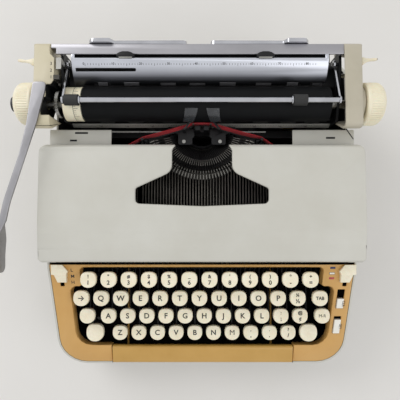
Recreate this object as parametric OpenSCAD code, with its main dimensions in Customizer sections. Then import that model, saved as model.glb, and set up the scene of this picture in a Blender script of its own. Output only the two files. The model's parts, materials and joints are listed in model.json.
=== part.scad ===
// Flat portable manual typewriter with a basket shift and a 10 inch carriage.
// The origin is on the table, under the centre of the four feet.
// X runs along the platen to the right, Y from the typist to the back, Z up.

/* [Body] */
// Width of the lower body shell
body_w = 296; // [292:1:298]
// Depth of the lower body shell, front to back
body_d = 308; // [304:1:312]
// Height of the rubber feet
foot_h = 8; // [6:0.5:9]
// Radius of the open bore in each foot
foot_bore_r = 3.2; // [2.6:0.1:3.8]
// Distance between the feet, left to right
foot_span_x = 240; // [220:1:250]
// Distance of the feet from the front and rear edges
foot_inset = 36; // [30:1:45]
// Wall of the body shell
shell_wall = 2.4; // [1.6:0.2:3]
// Height of the shell at its front edge
front_h = 50; // [48:0.5:52]
// Height of the shell where it meets the cover
deck_h = 95; // [93:0.5:96]
// Height of the shell under the carriage
rear_h = 78; // [74:0.5:78.5]
// Depth of the sloping front, where the keyboard is
slope_d = 104; // [100:1:108]
// Radius of the shell's front corners
corner_r = 28; // [20:1:32]

/* [Cover] */
// How far the cover stands proud of the shell on each side
cover_lap = 4; // [3:0.5:6]
// Wall of the cover
cover_wall = 2; // [1.4:0.2:2.6]
// Height of the cover's flat top over the deck
cover_rise = 17; // [16:0.5:19]
// Gap between the shell's deck and the cover's front lip
lip_gap = 6; // [5.5:0.5:7]
// Distance of the cover's front edge behind the keyboard's slope
cover_back = 7; // [5:0.5:9]
// Rear edge of the cover
cover_rear_y = 67; // [64:0.5:68]
// Half width of the opening at its waist
waist_w = 25.3; // [23:0.5:28]
// Half width of the opening over the key levers
bell_w = 61.7; // [56:0.5:66]
// Front edge of the opening
bell_y = 9; // [5:0.5:12]

/* [Keyboard] */
// Distance between two keys of a row
key_pitch = 19.05; // [18.8:0.05:19.2]
// Width of a key top
key_w = 15.3; // [14:0.1:15.6]
// Depth of a key top
key_d = 15; // [14:0.1:15.4]
// Height of a key top's side
key_h = 4; // [3:0.2:4.6]
// Distance between two rows, front to back
row_pitch = 19.4; // [19:0.1:20]
// Height of each row over the one in front
row_rise = 11.6; // [10.5:0.1:12]
// Distance of the rear row from the deck
row_back = 10.1; // [9.5:0.1:11]
// Height of the rear row's tops
row_top = 100.8; // [99:0.2:103]
// Travel of a key
key_travel = 11; // [8:0.5:11]
// Thickness of a key lever
lever_t = 1.2; // [0.8:0.1:1.4]
// Height of a key lever's bar
lever_h = 9; // [7:0.5:9]
// Radius of the rod that all levers turn on
fulcrum_r = 2; // [1.5:0.1:2.4]
// Left end of the space bar
space_left = -92.6; // [-94:0.2:-90]
// Right end of the space bar
space_right = 94.3; // [90:0.1:95]

/* [Type basket] */
// Height of the printing point
print_z = 105; // [104.5:0.1:105.5]
// Distance from the printing line down to the type bar pivots
pivot_drop = 26; // [25:0.2:27]
// Radius of the arc that the type bar pivots lie on
pivot_r = 22; // [21:0.2:23]
// Angle between two type bars
bar_step = 3.3; // [3.1:0.05:3.4]
// Slope of a type bar at rest
bar_rise = 32; // [28:0.5:34]
// Thickness of a type bar
bar_t = 0.6; // [0.4:0.05:0.65]
// Drop of the basket for capitals
shift_drop = 6.4; // [5:0.1:6.4]
// Distance between two key levers under the basket
fan_pitch = 3.1; // [2.9:0.05:3.2]

/* [Carriage] */
// Radius of the platen
platen_r = 16; // [15.4:0.1:16]
// Place of the platen's axis, front to back
platen_y = 106; // [106:0.1:106.6]
// Left end of the platen, with its collar
platen_left = -128; // [-128.2:0.1:-127]
// Right end of the platen
platen_right = 119.2; // [116:0.2:121]
// Radius of the platen's shaft
shaft_r = 4; // [3:0.1:4.6]
// Radius of a platen knob
knob_r = 20; // [18:0.5:20.5]
// Length of a platen knob
knob_len = 20; // [19:0.5:23]
// Radius of the paper bail's bar
bail_r = 2.4; // [2:0.05:3]
// Radius of a feed roller
feed_r = 3.5; // [3:0.1:3.7]
// Travel of the carriage to each side, in characters of a tenth of an inch
travel_marks = 43; // [38:1:43]
// Length of the return lever from its pivot
lever_reach = 165; // [140:1:175]

/* [Hidden] */
$fn = 48;
// Gap between a pin and its bore
pin_gap = 0.06;
// Gap between pieces that move past each other
run_gap = 0.4;

// Body: places that follow from the sizes above
body_x = body_w / 2;
rear_y = 154;
front_y = rear_y - body_d;
floor_top = foot_h + shell_wall;
feet_y = [front_y + foot_inset, rear_y - foot_inset];
slope_y = front_y + slope_d;
slope = (deck_h - front_h) / slope_d;
comb_y = slope_y + 4;
cover_x = body_x + cover_lap;
cover_lip = deck_h + lip_gap;
cover_top = deck_h + cover_rise;
cover_front_y = slope_y + cover_back;
hinge_y = cover_front_y + 3;
hinge_z = deck_h + 4.2;
hinge_pin_r = 2;
lug_r = 3.8;
bracket_x = cover_x - 20;
bracket_w = 5;
ledge_front = cover_rear_y - 7;
ledge_rear = cover_rear_y + 17;
// Surround: the key well, and how far its edge lies inside the shell
rim_w = shell_wall;
well_rear = slope_y + 1.3;
well_step = slope_y - 18;
well_front = front_y + 21.5;
well_left = -128.5;
well_right = 129;
well_rear_left = -117;
well_rear_right = 116.5;
skin = 2.4;
// Keyboard: row starts, key counts and lever places
row_y = slope_y - row_back;
row_start = [-107.2, -97.7, -92.9, -83.4];
row_count = [12, 11, 11, 10];
keys_mid = row_start[0] + 22 * key_pitch / 4;
lever_bottom = 51;
lever_mid = lever_bottom + 5;
fulcrum_y = 72;
hub_r = 5;
bend_rear = 4;
bend_front = comb_y + 3;
stem_w = 4;
h_index = 5;
// Type basket: the fan centre lies on the printing point
fan_y = platen_y - platen_r - 1.5;
pivot_z = print_z - pivot_drop;
bar_len = sqrt(pivot_r * pivot_r + pivot_drop * pivot_drop);
slug_lean = 90 - atan2(pivot_r, pivot_drop);
slug_w = 2;
slug_d = 6;
slug_h = 3.4;
bar_h = 3;
wire_r = 0.6;
seg_in = 17;
slot_gap = 0.12;
seg_out = 33;
rest_in = 40;
rest_out = 43.5;
seg_bottom = lever_bottom + lever_h + shift_drop + 1.6;
post_x = 50;
post_y = 88;
post_r = 2;
// Carriage: levels and ends
frame_left = platen_left - 3;
frame_right = platen_right + 10.3;
plate_t = 2.5;
deck_z = 81;
deck_t = 2;
end_front = fan_y + 1.3;
end_rear = 152;
rail_y = 141;
rail_half = 3;
rail_top = 88;
char_w = 2.54;
pinion_teeth = 20;
pinion_r = pinion_teeth * char_w / 2 / PI;
pinion_y = 118;
pinion_x = 22;
bail_y = platen_y - 2.2;
bail_roller_r = 5;
bail_z = print_z + sqrt(pow(platen_r + bail_roller_r + 0.4, 2) - pow(platen_y - bail_y, 2));
bail_pivot = [142, 112];
collar_len = 17;
knob_left_x = frame_left - 24;
knob_right_x = frame_right + 21;
return_x = frame_left - 15.8;
return_y = 114.3;
cap_top = 125;
cap_nose = 80;
cap_low = 96;
boss_r = 17;
rail_bar_y = 147;
roller_spots = [for (x = [-93.6, -65.5, -31.9, -4.4, 24, 58, 85.6, 109])
    if (x > frame_left + 22 && x < frame_right - 19) x];

// Corner rounding for a polygon: the arc that replaces point b
function unit(v) = v / norm(v);
function corner_arc(a, b, c, r, n) =
    let (
        u = unit(a - b),
        w = unit(c - b),
        half = acos(u * w) / 2,
        mid = b + unit(u + w) * (r / sin(half)),
        p = b + u * (r / tan(half)),
        q = b + w * (r / tan(half)),
        start = atan2(p[1] - mid[1], p[0] - mid[0]),
        turn = atan2(q[1] - mid[1], q[0] - mid[0]) - start,
        sweep = turn > 180 ? turn - 360 : turn < -180 ? turn + 360 : turn
    )
    [for (i = [0:n]) mid + r * [cos(start + sweep * i / n), sin(start + sweep * i / n)]];
function rounded(pts, radii, n = 5) =
    let (k = len(pts))
    [for (i = [0:k - 1])
        each radii[i] <= 0 ? [pts[i]]
            : corner_arc(pts[(i - 1 + k) % k], pts[i], pts[(i + 1) % k], radii[i], n)];
function arc(r, a0, a1, n) =
    [for (i = [0:n]) r * [cos(a0 + (a1 - a0) * i / n), sin(a0 + (a1 - a0) * i / n)]];

// Basic solids: a block from corner to corner, and rods along each axis
module block(a, b) {
    translate(a) cube(b - a);
}
module rod_x(r, x0, x1, y, z) {
    translate([x0, y, z]) rotate([0, 90, 0]) cylinder(r = r, h = x1 - x0);
}
module rod_y(r, y0, y1, x, z) {
    translate([x, y1, z]) rotate([90, 0, 0]) cylinder(r = r, h = y1 - y0);
}
module rod_z(r, z0, z1, x, y) {
    translate([x, y, z0]) cylinder(r = r, h = z1 - z0);
}
// A profile drawn in Y and Z, carried along X
module along_x(x0, x1) {
    translate([x0, 0, 0]) rotate([90, 0, 90]) linear_extrude(x1 - x0) children();
}
// An outline drawn in X and Y, carried up Z
module upright(z0, z1) {
    translate([0, 0, z0]) linear_extrude(z1 - z0) children();
}
// A stretch of an arc of wall around the platen, as a profile in Y and Z
module platen_arc(r0, r1, a0, a1, n) {
    translate([platen_y, print_z])
        polygon(concat(arc(r0, a0, a1, n), arc(r1, a1, a0, n)));
}

// Outline of the body from above, drawn in by inset
module body_outline(inset) {
    x = body_x - inset;
    front = front_y + inset;
    rear = rear_y - inset;
    front_r = corner_r - inset;
    polygon(rounded([[-x, front], [x, front], [x, rear], [-x, rear]], [front_r, front_r, 8, 8], 6));
}
// Height of the sloping front at y
function slope_z(y) = front_h + (y - front_y) * slope;

// Lower body: an open tub with a sloping front
module base_shell() {
    color("#c6c2ba") difference() {
        union() {
            difference() {
                intersection() {
                    upright(foot_h, deck_h) body_outline(0);
                    along_x(-body_x, body_x) polygon([
                        [front_y, foot_h], [rear_y, foot_h], [rear_y, rear_h],
                        [ledge_rear, rear_h], [ledge_rear, deck_h], [slope_y, deck_h],
                        [front_y, front_h]
                    ]);
                }
                upright(floor_top, deck_h + 1) body_outline(shell_wall);
            }
            // brackets that carry the cover's hinge pins
            for (s = [-1, 1]) {
                mirror([s < 0 ? 1 : 0, 0, 0]) {
                    block([bracket_x, hinge_y - 3.6, deck_h - 14],
                        [body_x - 1, hinge_y + 3.6, deck_h - 1]);
                    block([bracket_x, hinge_y - 3.6, deck_h - 2],
                        [bracket_x + bracket_w, hinge_y + 3.6, hinge_z]);
                    rod_x(3.6, bracket_x, bracket_x + bracket_w, hinge_y, hinge_z);
                    rod_x(hinge_pin_r, bracket_x + 4, cover_x - 9, hinge_y, hinge_z);
                    // deck ledge beside the type basket
                    block([88, ledge_front, deck_h - 2.5], [body_x - 1, ledge_rear, deck_h]);
                }
            }
        }
        // notch that the space bar drops into
        block([space_left - 1, front_y - 1, front_h - 9], [space_right + 1, front_y + 8, deck_h]);
        for (x = [-1, 1], y = feet_y) {
            rod_z(foot_bore_r, 0, floor_top + 1, x * foot_span_x / 2, y);
        }
    }
}

// Four rubber feet with open bores
module rubber_feet() {
    color("#26262a") for (x = [-1, 1], y = feet_y) {
        translate([x * foot_span_x / 2, y, 0]) difference() {
            cylinder(r1 = 9.5, r2 = 11.5, h = foot_h);
            translate([0, 0, -1]) cylinder(r = foot_bore_r, h = foot_h + 2);
        }
    }
}

// Outline of the key well from above, grown by grow
module well_outline(grow) {
    polygon(rounded([
        [well_rear_left - grow, well_rear + grow], [well_rear_right + grow, well_rear + grow],
        [well_rear_right + grow, well_step + grow], [well_right + grow, well_step + grow],
        [well_right + grow, well_front - grow], [well_left - grow, well_front - grow],
        [well_left - grow, well_step + grow], [well_rear_left - grow, well_step + grow]
    ], [4, 4, 3, 6, 15 + grow, 15 + grow, 6, 3], 4));
}
// Sloping slab under the surround's top face, between two depths
module slope_slab(top, bottom) {
    along_x(-body_x, body_x) polygon([
        [front_y, front_h - top], [slope_y + 4, slope_z(slope_y + 4) - top],
        [slope_y + 4, slope_z(slope_y + 4) - bottom], [front_y, front_h - bottom]
    ]);
}
// A long slot for a lever or slider that runs down the slope
module slope_slot(x0, x1, y0, y1) {
    block([x0, y0, front_h - 10], [x1, y1, deck_h + 10]);
}

// Tan frame around the keys
module keyboard_surround() {
    color("#c7a36b") difference() {
        union() {
            intersection() {
                upright(front_h - 12, deck_h + 4) body_outline(rim_w);
                slope_slab(0, skin);
            }
            // wall down from the edge of the well
            intersection() {
                upright(front_h - 18, deck_h + 4) difference() {
                    well_outline(skin);
                    well_outline(0);
                }
                slope_slab(skin / 2, 12);
            }
        }
        upright(front_h - 20, deck_h + 5) well_outline(0);
        // room for the space bar, out to the front edge
        block([space_left - 0.8, front_y - 1, front_h - 20],
            [space_right + 0.8, well_front + 1, deck_h]);
        slope_slot(touch_x - 2, touch_x + 2, touch_y - 15, touch_y + 3);
        slope_slot(selector_x - 2, selector_x + 2, touch_y - 15, touch_y + 3);
        slope_slot(slider_x - 3.6, slider_x + 3.6, clear_y - 10, clear_y + 10);
        slope_slot(slider_x - 3.6, slider_x + 3.6, set_y - 9.5, set_y + 9.5);
    }
}

// Places of the two cream levers and the two tab sliders
touch_x = -135.5;
selector_x = 138.5;
touch_y = slope_y - 3;
slider_x = 136.2;
clear_y = touch_y - 28.3;
set_y = clear_y - 28.2;

// Steel frame: side plates, cross bars, the lever comb and the ribbon shelves
chassis_x = 124;
module chassis() {
    color("#55575a") {
        for (s = [-1, 1]) {
            mirror([s < 0 ? 1 : 0, 0, 0]) {
                difference() {
                    along_x(chassis_x, chassis_x + 2) polygon([
                        [comb_y - 18, floor_top], [148, floor_top], [148, rail_top - 20],
                        [62, rail_top - 20], [62, 86], [comb_y + 16, 86], [comb_y - 2, 62],
                        [comb_y - 18, 40]
                    ]);
                    rod_x(fulcrum_r + 0.02, chassis_x - 1, chassis_x + 3, fulcrum_y, lever_mid);
                }
                // foot flange on the floor of the shell
                block([chassis_x - 12, comb_y - 14, floor_top], [chassis_x, 146, floor_top + 2]);
                // shelf for a ribbon spool, with the spool's post
                block([74, -4, 84], [chassis_x, 58, 86]);
                rod_z(spool_post_r, 86, 108, spool_x, spool_y);
                // guide post of the ribbon
                block([54, 55, 84], [74, 58, 86]);
                block([54, 58, 84], [60, 76, 86]);
                rod_z(1.4, 86, 104, 57, 73);
                // post that guides the basket
                rod_z(post_r, lever_bottom + 5, seg_bottom + 8, post_x, post_y);
                // post that carries the plates at the printing point
                block([29, fan_y - 4, lever_bottom + 5], [32, fan_y - 0.5, plate_low]);
            }
        }
        // cross bars of the frame
        block([-chassis_x, post_y - 4, lever_bottom - 1], [chassis_x, post_y + 4, lever_bottom + 5]);
        block([-chassis_x, rail_y - rail_half, rail_top - 26],
            [chassis_x, rail_y + rail_half, rail_top - 20]);
        block([-chassis_x, front_rail_y - 2, 62], [chassis_x, front_rail_y + 2, 68]);
        // shelf and post of the escapement
        block([pinion_x - 8, front_rail_y - 2, 60], [pinion_x + 8, rail_y + 3, 62.5]);
        rod_z(2, 61, deck_z - run_gap, pinion_x, pinion_y);
        // bracket and spindle of the mainspring drum
        block([drum_x - 8, drum_y + 13, drum_z - 5], [drum_x + 8, drum_y + 15.5, 63]);
        block([drum_x - 8, drum_y + 13, 62], [drum_x + 8, rail_y, 64.5]);
        rod_y(3, drum_y - 0.5, drum_y + 14, drum_x, drum_z);
        // rest for the levers, over them
        block([-chassis_x, comb_y + 8, lever_bottom + lever_h + run_gap],
            [chassis_x, comb_y + 13, lever_bottom + lever_h + 3]);
        // comb that keeps the key levers apart
        difference() {
            block([-chassis_x, comb_y - 1, 28], [chassis_x, comb_y + 1, lever_bottom + lever_h - 1]);
            for (x = lever_places) {
                block([x - lever_t / 2 - 0.35, comb_y - 2, lever_bottom - 14],
                    [x + lever_t / 2 + 0.35, comb_y + 2, lever_bottom + lever_h]);
            }
        }
        // rod that the space bar turns on
        rod_x(2, -chassis_x, chassis_x, space_pivot_y, space_pivot_z);
    }
}
// Where the key levers pass the comb, the outer ones last
shift_lever_x = [-112, 108];
lock_lever_x = -115.5;
back_lever_x = -119;
tab_lever_x = 114;
release_lever_x = 119;
lever_places = concat(
    [for (r = [0:3], i = [0:row_count[r] - 1]) row_start[r] + i * key_pitch],
    shift_lever_x,
    [lock_lever_x, back_lever_x, tab_lever_x, release_lever_x]
);
space_pivot_y = slope_y - 6;
space_pivot_z = 30;
spool_x = 100;
spool_y = 28;
spool_post_r = 2.5;
front_rail_y = 96;

// Fixed rails that the carriage runs on
module carriage_rails() {
    color("#8c8f93") {
        block([-122, rail_y - rail_half, rail_top - 20], [122, rail_y + rail_half, rail_top]);
        block([-122, front_rail_y - 2, 68], [122, front_rail_y + 2, deck_z - run_gap]);
    }
}

// Rod through the rear ends of all the levers
module fulcrum_rod() {
    color("#b5b7ba") rod_x(fulcrum_r, -chassis_x - 3, chassis_x + 3, fulcrum_y, lever_mid);
}

// Gong that rings near the right margin, on its stem
module margin_bell() {
    color("#b9a25c") translate([96, 112, floor_top]) {
        cylinder(r = 2.5, h = 24);
        translate([0, 0, 24]) difference() {
            intersection() {
                sphere(r = 16);
                translate([-20, -20, 0]) cube([40, 40, 20]);
            }
            intersection() {
                sphere(r = 14.6);
                translate([-20, -20, -1]) cube([40, 40, 13.6]);
            }
        }
        translate([0, 0, 20]) cylinder(r = 2.5, h = 18);
    }
}

// Plates beside the printing point, with the clear card fingers
plate_low = 87.4;
module type_guide() {
    color("#3a3b3e") for (s = [-1, 1]) {
        mirror([s < 0 ? 1 : 0, 0, 0]) {
            upright(plate_low, plate_low + 2) polygon(rounded([
                [7.6, fan_y - 10], [9.4, fan_y - 11.5], [9.4, fan_y - 18], [23.5, fan_y - 18],
                [23.5, fan_y - 7.5], [33, fan_y - 4], [33, fan_y - 0.4], [7.6, fan_y - 2.2]
            ], [0, 0, 2, 2, 0, 2, 0, 0], 4));
        }
    }
    // clear card fingers that hold the paper to the platen, on arms over the ribbon
    color("#9aa0a6") for (s = [-1, 1]) {
        mirror([s < 0 ? 1 : 0, 0, 0]) {
            intersection() {
                along_x(2, 20) platen_arc(platen_r + 0.45, platen_r + 1, 117, 184, 8);
                translate([0, fan_y + 14, 0]) rotate([90, 0, 0]) linear_extrude(16) polygon([
                    [9.3, print_z - 2], [18.5, print_z - 2], [15.5, print_z + 17], [3.2, print_z + 17]
                ]);
            }
            upright(print_z - 1.4, print_z - 0.5) polygon([
                [10, fan_y + 1], [12.4, fan_y + 1], [18.4, fan_y - 6.5], [16, fan_y - 6.5]
            ]);
            block([16, fan_y - 6.5, plate_low + 1], [18.4, fan_y - 5.5, print_z - 0.5]);
        }
    }
}

// Inked ribbon, from the left spool past the printing point to the right one
ribbon_low = 90;
ribbon_w = 12.7;
ribbon_t = 0.3;
wound_left = 20;
wound_right = 14;
// Route of one half from above: past the prong, the plate and the guide post to the spool
function spool_touch(r) =
    let (p = ribbon_route[3] - [spool_x, spool_y], a = atan2(p[1], p[0]) - acos((r + 0.4) / norm(p)))
    [spool_x, spool_y] + (r + 0.4) * [cos(a), sin(a)];
ribbon_route = [[0, fan_y + 0.3], [10, fan_y + 0.1], [34.4, fan_y - 7], [57, fan_y - 13.1]];
module ribbon_half(wound) {
    route = concat(ribbon_route, [spool_touch(wound)]);
    for (i = [0:len(route) - 2]) {
        u = unit(route[i + 1] - route[i]);
        side = ribbon_t / 2 * [-u[1], u[0]];
        upright(ribbon_low, ribbon_low + ribbon_w)
            polygon([route[i] - side, route[i + 1] - side, route[i + 1] + side, route[i] + side]);
    }
}
module ink_ribbon() {
    color("#7a1018") {
        mirror([1, 0, 0]) ribbon_half(wound_left);
        ribbon_half(wound_right);
    }
}

// Screws that hold the frame to the floor, and those of the plates
module frame_screws() {
    color("#c9cbce") {
        for (x = [-1, 1], y = [comb_y - 4, 40, 130]) {
            translate([x * (chassis_x - 7), y, floor_top + 2]) {
                cylinder(r = 3, h = 1.6);
            }
        }
        for (s = [-1, 1]) {
            translate([s * 17.8, fan_y - 15, plate_low + 2]) cylinder(r = 1.8, h = 1);
        }
    }
}

// Profile of the cover from the side, drawn in by inset and reaching down by deep
module cover_profile(inset, deep) {
    skirt = deck_h - 11 - deep;
    polygon(rounded([
        [cover_front_y + inset, cover_lip - deep],
        [cover_front_y + inset, cover_top - 4.5 - inset],
        [cover_front_y + 24, cover_top - inset],
        [cover_rear_y - inset, cover_top - inset],
        [cover_rear_y - inset, skirt],
        [cover_front_y + 8, skirt],
        [cover_front_y + 8, cover_lip - deep]
    ], [0, 3, 14, 5, 0, 0, 0], 5));
}
// Outline of the cover from above, drawn in by inset
module cover_outline(inset) {
    x = cover_x - inset;
    polygon(rounded([
        [-x, cover_front_y + inset], [x, cover_front_y + inset],
        [x, cover_rear_y - inset], [-x, cover_rear_y - inset]
    ], [5, 5, 9 - inset, 9 - inset], 5));
}
// Bell shaped opening over the type basket, open at the rear, grown by grow
module bell_outline(grow) {
    w = waist_w + grow;
    b = bell_w + grow;
    polygon(rounded([
        [w, cover_rear_y + 10], [w, cover_rear_y - 1], [w + 2.5, cover_rear_y - 6], [w + 2.5, 41],
        [b, 25.5 + grow / 2], [b, bell_y + 2.5 - grow],
        [0, bell_y - grow], [-b, bell_y + 2.5 - grow], [-b, 25.5 + grow / 2],
        [-w - 2.5, 41], [-w - 2.5, cover_rear_y - 6], [-w, cover_rear_y - 1], [-w, cover_rear_y + 10]
    ], [0, 0, 0, 10, 3, 4, 0, 4, 3, 10, 0, 0, 0], 5));
}

// Hinged cover over the basket and the spools
module top_cover() {
    color("#cac7be") {
        difference() {
            intersection() {
                upright(deck_h - 15, cover_top) cover_outline(0);
                along_x(-cover_x, cover_x) cover_profile(0, 0);
            }
            intersection() {
                upright(deck_h - 25, cover_top) cover_outline(cover_wall);
                along_x(-cover_x, cover_x) cover_profile(cover_wall, 9);
            }
            upright(cover_top - 12, cover_top + 1) bell_outline(0);
            // low rear edge, so that the ribbon passes under it
            block([cover_wall - cover_x, cover_rear_y - cover_wall - 4, deck_h - 25],
                [cover_x - cover_wall, cover_rear_y + 1, cover_top - 7.5]);
            // notches over the hinge brackets
            for (s = [-1, 1]) {
                mirror([s < 0 ? 1 : 0, 0, 0])
                    block([bracket_x - run_gap, cover_front_y - 1, deck_h - 5],
                        [bracket_x + bracket_w + run_gap, hinge_y + 1, hinge_z + 4.6]);
            }
        }
        for (s = [-1, 1]) {
            mirror([s < 0 ? 1 : 0, 0, 0]) {
                // round lug on the hinge pin
                difference() {
                    rod_x(lug_r, bracket_x + bracket_w + 1, cover_x - 1, hinge_y, hinge_z);
                    rod_x(hinge_pin_r + pin_gap, bracket_x, cover_x - 8.6, hinge_y, hinge_z);
                }
                // rib that rests on the edge of the shell
                block([body_x - shell_wall, 20, deck_h], [body_x, 44, cover_top - cover_wall + 0.5]);
                block([body_x - 1, 20, deck_h + 2], [cover_x - 1, 44, cover_top - cover_wall + 0.5]);
            }
        }
    }
}

// Moving frame of the carriage, with an end plate on each side
module carriage_end(x0, x1) {
    difference() {
        along_x(x0, x1) polygon(rounded([
            [end_front, deck_z], [end_rear, deck_z], [end_rear, plate_top],
            [bail_pivot[0] - 6, plate_top], [platen_y + 12, 111], [platen_y + 5, 112], [end_front, 104]
        ], [0, 0, 0, 4, 3, 3, 2], 3));
        rod_x(shaft_r + pin_gap, x0 - 1, x1 + 1, platen_y, print_z);
        rod_x(feed_pin_r + pin_gap, x0 - 1, x1 + 1, feed_front[0], feed_front[1]);
        rod_x(feed_pin_r + pin_gap, x0 - 1, x1 + 1, feed_rear[0], feed_rear[1]);
        rod_x(pivot_pin_r, x0 - 1, x1 + 1, bail_pivot[0], bail_pivot[1]);
        rod_x(release_r + pin_gap, x0 - 1, x1 + 1, release_y, release_z);
    }
}
feed_pin_r = 1.5;
feed_gap = 0.3;
feed_reach = platen_r + feed_r + feed_gap;
feed_front = [platen_y + feed_reach * cos(240), print_z + feed_reach * sin(240)];
feed_rear = [platen_y + feed_reach * cos(310), print_z + feed_reach * sin(310)];
pivot_pin_r = 1.6;
plate_top = 116.5;
release_r = 2;
release_y = 136;
release_z = 99;
module carriage_frame() {
    color("#2f3033") {
        difference() {
            union() {
                carriage_end(frame_left, frame_left + plate_t);
                carriage_end(frame_right - plate_t, frame_right);
                block([frame_left, end_front + 1, deck_z], [frame_right, end_rear, deck_z + deck_t]);
                // channel that straddles the rear rail
                along_x(frame_left, frame_right) polygon([
                    [rail_y - rail_half - run_gap - 2.5, deck_z],
                    [rail_y + rail_half + run_gap + 2.5, deck_z],
                    [rail_y + rail_half + run_gap + 2.5, rail_top + run_gap + 2.5],
                    [rail_y - rail_half - run_gap - 2.5, rail_top + run_gap + 2.5]
                ]);
            }
            along_x(frame_left - 1, frame_right + 1) polygon([
                [rail_y - rail_half - run_gap, deck_z - 1], [rail_y + rail_half + run_gap, deck_z - 1],
                [rail_y + rail_half + run_gap, rail_top + run_gap],
                [rail_y - rail_half - run_gap, rail_top + run_gap]
            ]);
        }
        // pins that the bail swings on
        rod_x(pivot_pin_r, frame_left, bail_arm_left + 2, bail_pivot[0], bail_pivot[1]);
        rod_x(pivot_pin_r, bail_arm_right - 2, frame_right, bail_pivot[0], bail_pivot[1]);
        rod_x(pivot_pin_r, frame_left, frame_left + plate_t + 1.8, paper_free[0], paper_free[1]);
        // stud that carries the return lever
        rod_z(1.9, cap_low - 2, cap_top - 2.9, return_x, return_y);
        rod_z(3, cap_top - 3, cap_top + 2, return_x, return_y);
        block([return_x - 3.2, return_y - 3, cap_low - 4], [return_x + 3.2, return_y + 9.5, cap_low]);
        block([return_x, return_y + 1.5, cap_low - 4], [frame_left + 0.5, return_y + 9.5, cap_low]);
        // stud of the line space selector
        rod_x(1.6, frame_left - 2.9, frame_left + 0.5, 124, 112);
        // row of teeth that turns the escapement pinion
        upright(deck_z - 1.9, deck_z) polygon(concat(
            [[frame_right, pinion_y - pinion_r - 5], [frame_left, pinion_y - pinion_r - 5]],
            [for (i = [-50:49])
                let (x = pinion_x + (i + 0.5) * char_w)
                if (x > frame_left + 1 && x < frame_right - 1)
                    each rack_tooth(x)]
        ));
    }
}
// One tooth of the straight rack, centred on x
function rack_tooth(x) =
    let (root = pinion_y - pinion_r - 1.1, tip = pinion_y - pinion_r + 0.7)
    [[x - 0.65, root], [x - 0.25, tip], [x + 0.25, tip], [x + 0.65, root]];

// Side shape of an end cap, drawn in by inset: long and flat, with a nose at the front
module cap_side(x0, x1, inset) {
    along_x(x0, x1) polygon(rounded([
        [cap_nose + inset, cap_top - 8], [cap_nose + inset, cap_top - inset],
            [157.5 - inset, cap_top - inset],
        [157.5 - inset, cap_low - inset * 2], [end_front + 4.6, cap_low - 6 - inset * 2],
        [end_front + 1.2 + inset, cap_low - 4]
    ], [2, 5, 4, 0, 2, 2], 4));
}
// Outline of the left cap from above, drawn in by inset
module cap_left_outline(inset) {
    x = frame_left - 21.8 + inset;
    wide = frame_left - 3.1 - inset;
    slim = frame_left - 7.1 - inset;
    strip = frame_left - 15 - inset;
    mid = frame_left - 10.6 - inset;
    polygon(rounded([
        [x, cap_nose - 1 + inset], [frame_left - 6.4 - inset, cap_nose - 1 + inset],
        [frame_left - 6.4 - inset, end_front + 1 - inset], [strip, end_front + 1 - inset],
        [strip, return_y - 7 + inset], [mid, return_y - 7 + inset],
        [mid, return_y + 4.7 + inset], [slim + 0.9, return_y + 4.7 + inset],
        [wide, return_y + 9.2], [wide, 143], [slim, 147], [slim, 158], [x, 158]
    ], [2, 2, 0, 0, 0, 0, 0, 0, 1, 1, 1, 0, 3], 3));
}
// Cream cap over the carriage's left end
module end_cap_left() {
    color("#d5cbb4") difference() {
        union() {
            intersection() {
                upright(cap_low - 8, cap_top) cap_left_outline(0);
                cap_side(frame_left - 24, frame_left, 0);
            }
            rod_x(boss_r, frame_left - 23.4, frame_left - 20, platen_y, print_z);
        }
        intersection() {
            upright(cap_low - 14, cap_top - 2) cap_left_outline(2);
            cap_side(frame_left - 24, frame_left, 2);
        }
        // open underside, where the stud's arm passes
        block([frame_left - 19.8, return_y - 5.6, cap_low - 14], [frame_left, 155, cap_low + 0.02]);
        rod_x(shaft_r + 1.4, frame_left - 26, frame_left - 10, platen_y, print_z);
        rod_z(3.3, cap_top - 3, cap_top + 1, return_x, return_y);
        rod_x(2.6, frame_left - 26, frame_left, release_y, release_z);
    }
}

// Cream cap over the carriage's right end
module end_cap_right() {
    wide = frame_right + 16;
    color("#b2aa98") difference() {
        union() {
            intersection() {
                upright(cap_low - 8, cap_top) polygon(rounded([
                    [frame_right, cap_nose - 1], [wide, cap_nose - 1], [wide, 158], [frame_right, 158]
                ], [1, 3, 3, 1], 3));
                cap_side(frame_right, wide, 0);
            }
            rod_x(boss_r, wide - 2, wide + 4, platen_y, print_z);
        }
        cap_side(frame_right - 1, wide - 2, 2);
        rod_x(shaft_r + 1.4, frame_right, wide + 5, platen_y, print_z);
        rod_x(2.6, frame_right, wide + 5, release_y, release_z);
    }
}

// Bar along the back that carries the margin stops
module rear_rail() {
    color("#b7b7bb") {
        block([frame_left - 6.7, rail_bar_y + 5.5, 112], [frame_right, rail_bar_y + 9.5, 124]);
        block([frame_left - 2.2, rail_bar_y, 122], [frame_right, rail_bar_y + 5.6, 124]);
        // brackets that reach the end plates
        block([frame_left, end_rear - 4, plate_top], [frame_left + plate_t, rail_bar_y + 5.6, 122.5]);
        block([frame_right - plate_t, end_rear - 4, plate_top], [frame_right, rail_bar_y + 5.6, 122.5]);
        // pivot posts of the paper supports
        for (x = [support_left_x, support_right_x]) {
            rod_y(2, rail_bar_y + 9, rail_bar_y + 13, x, support_z);
        }
    }
}
support_left_x = -18;
support_right_x = 12;
support_z = 119;
support_len = 86;

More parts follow.
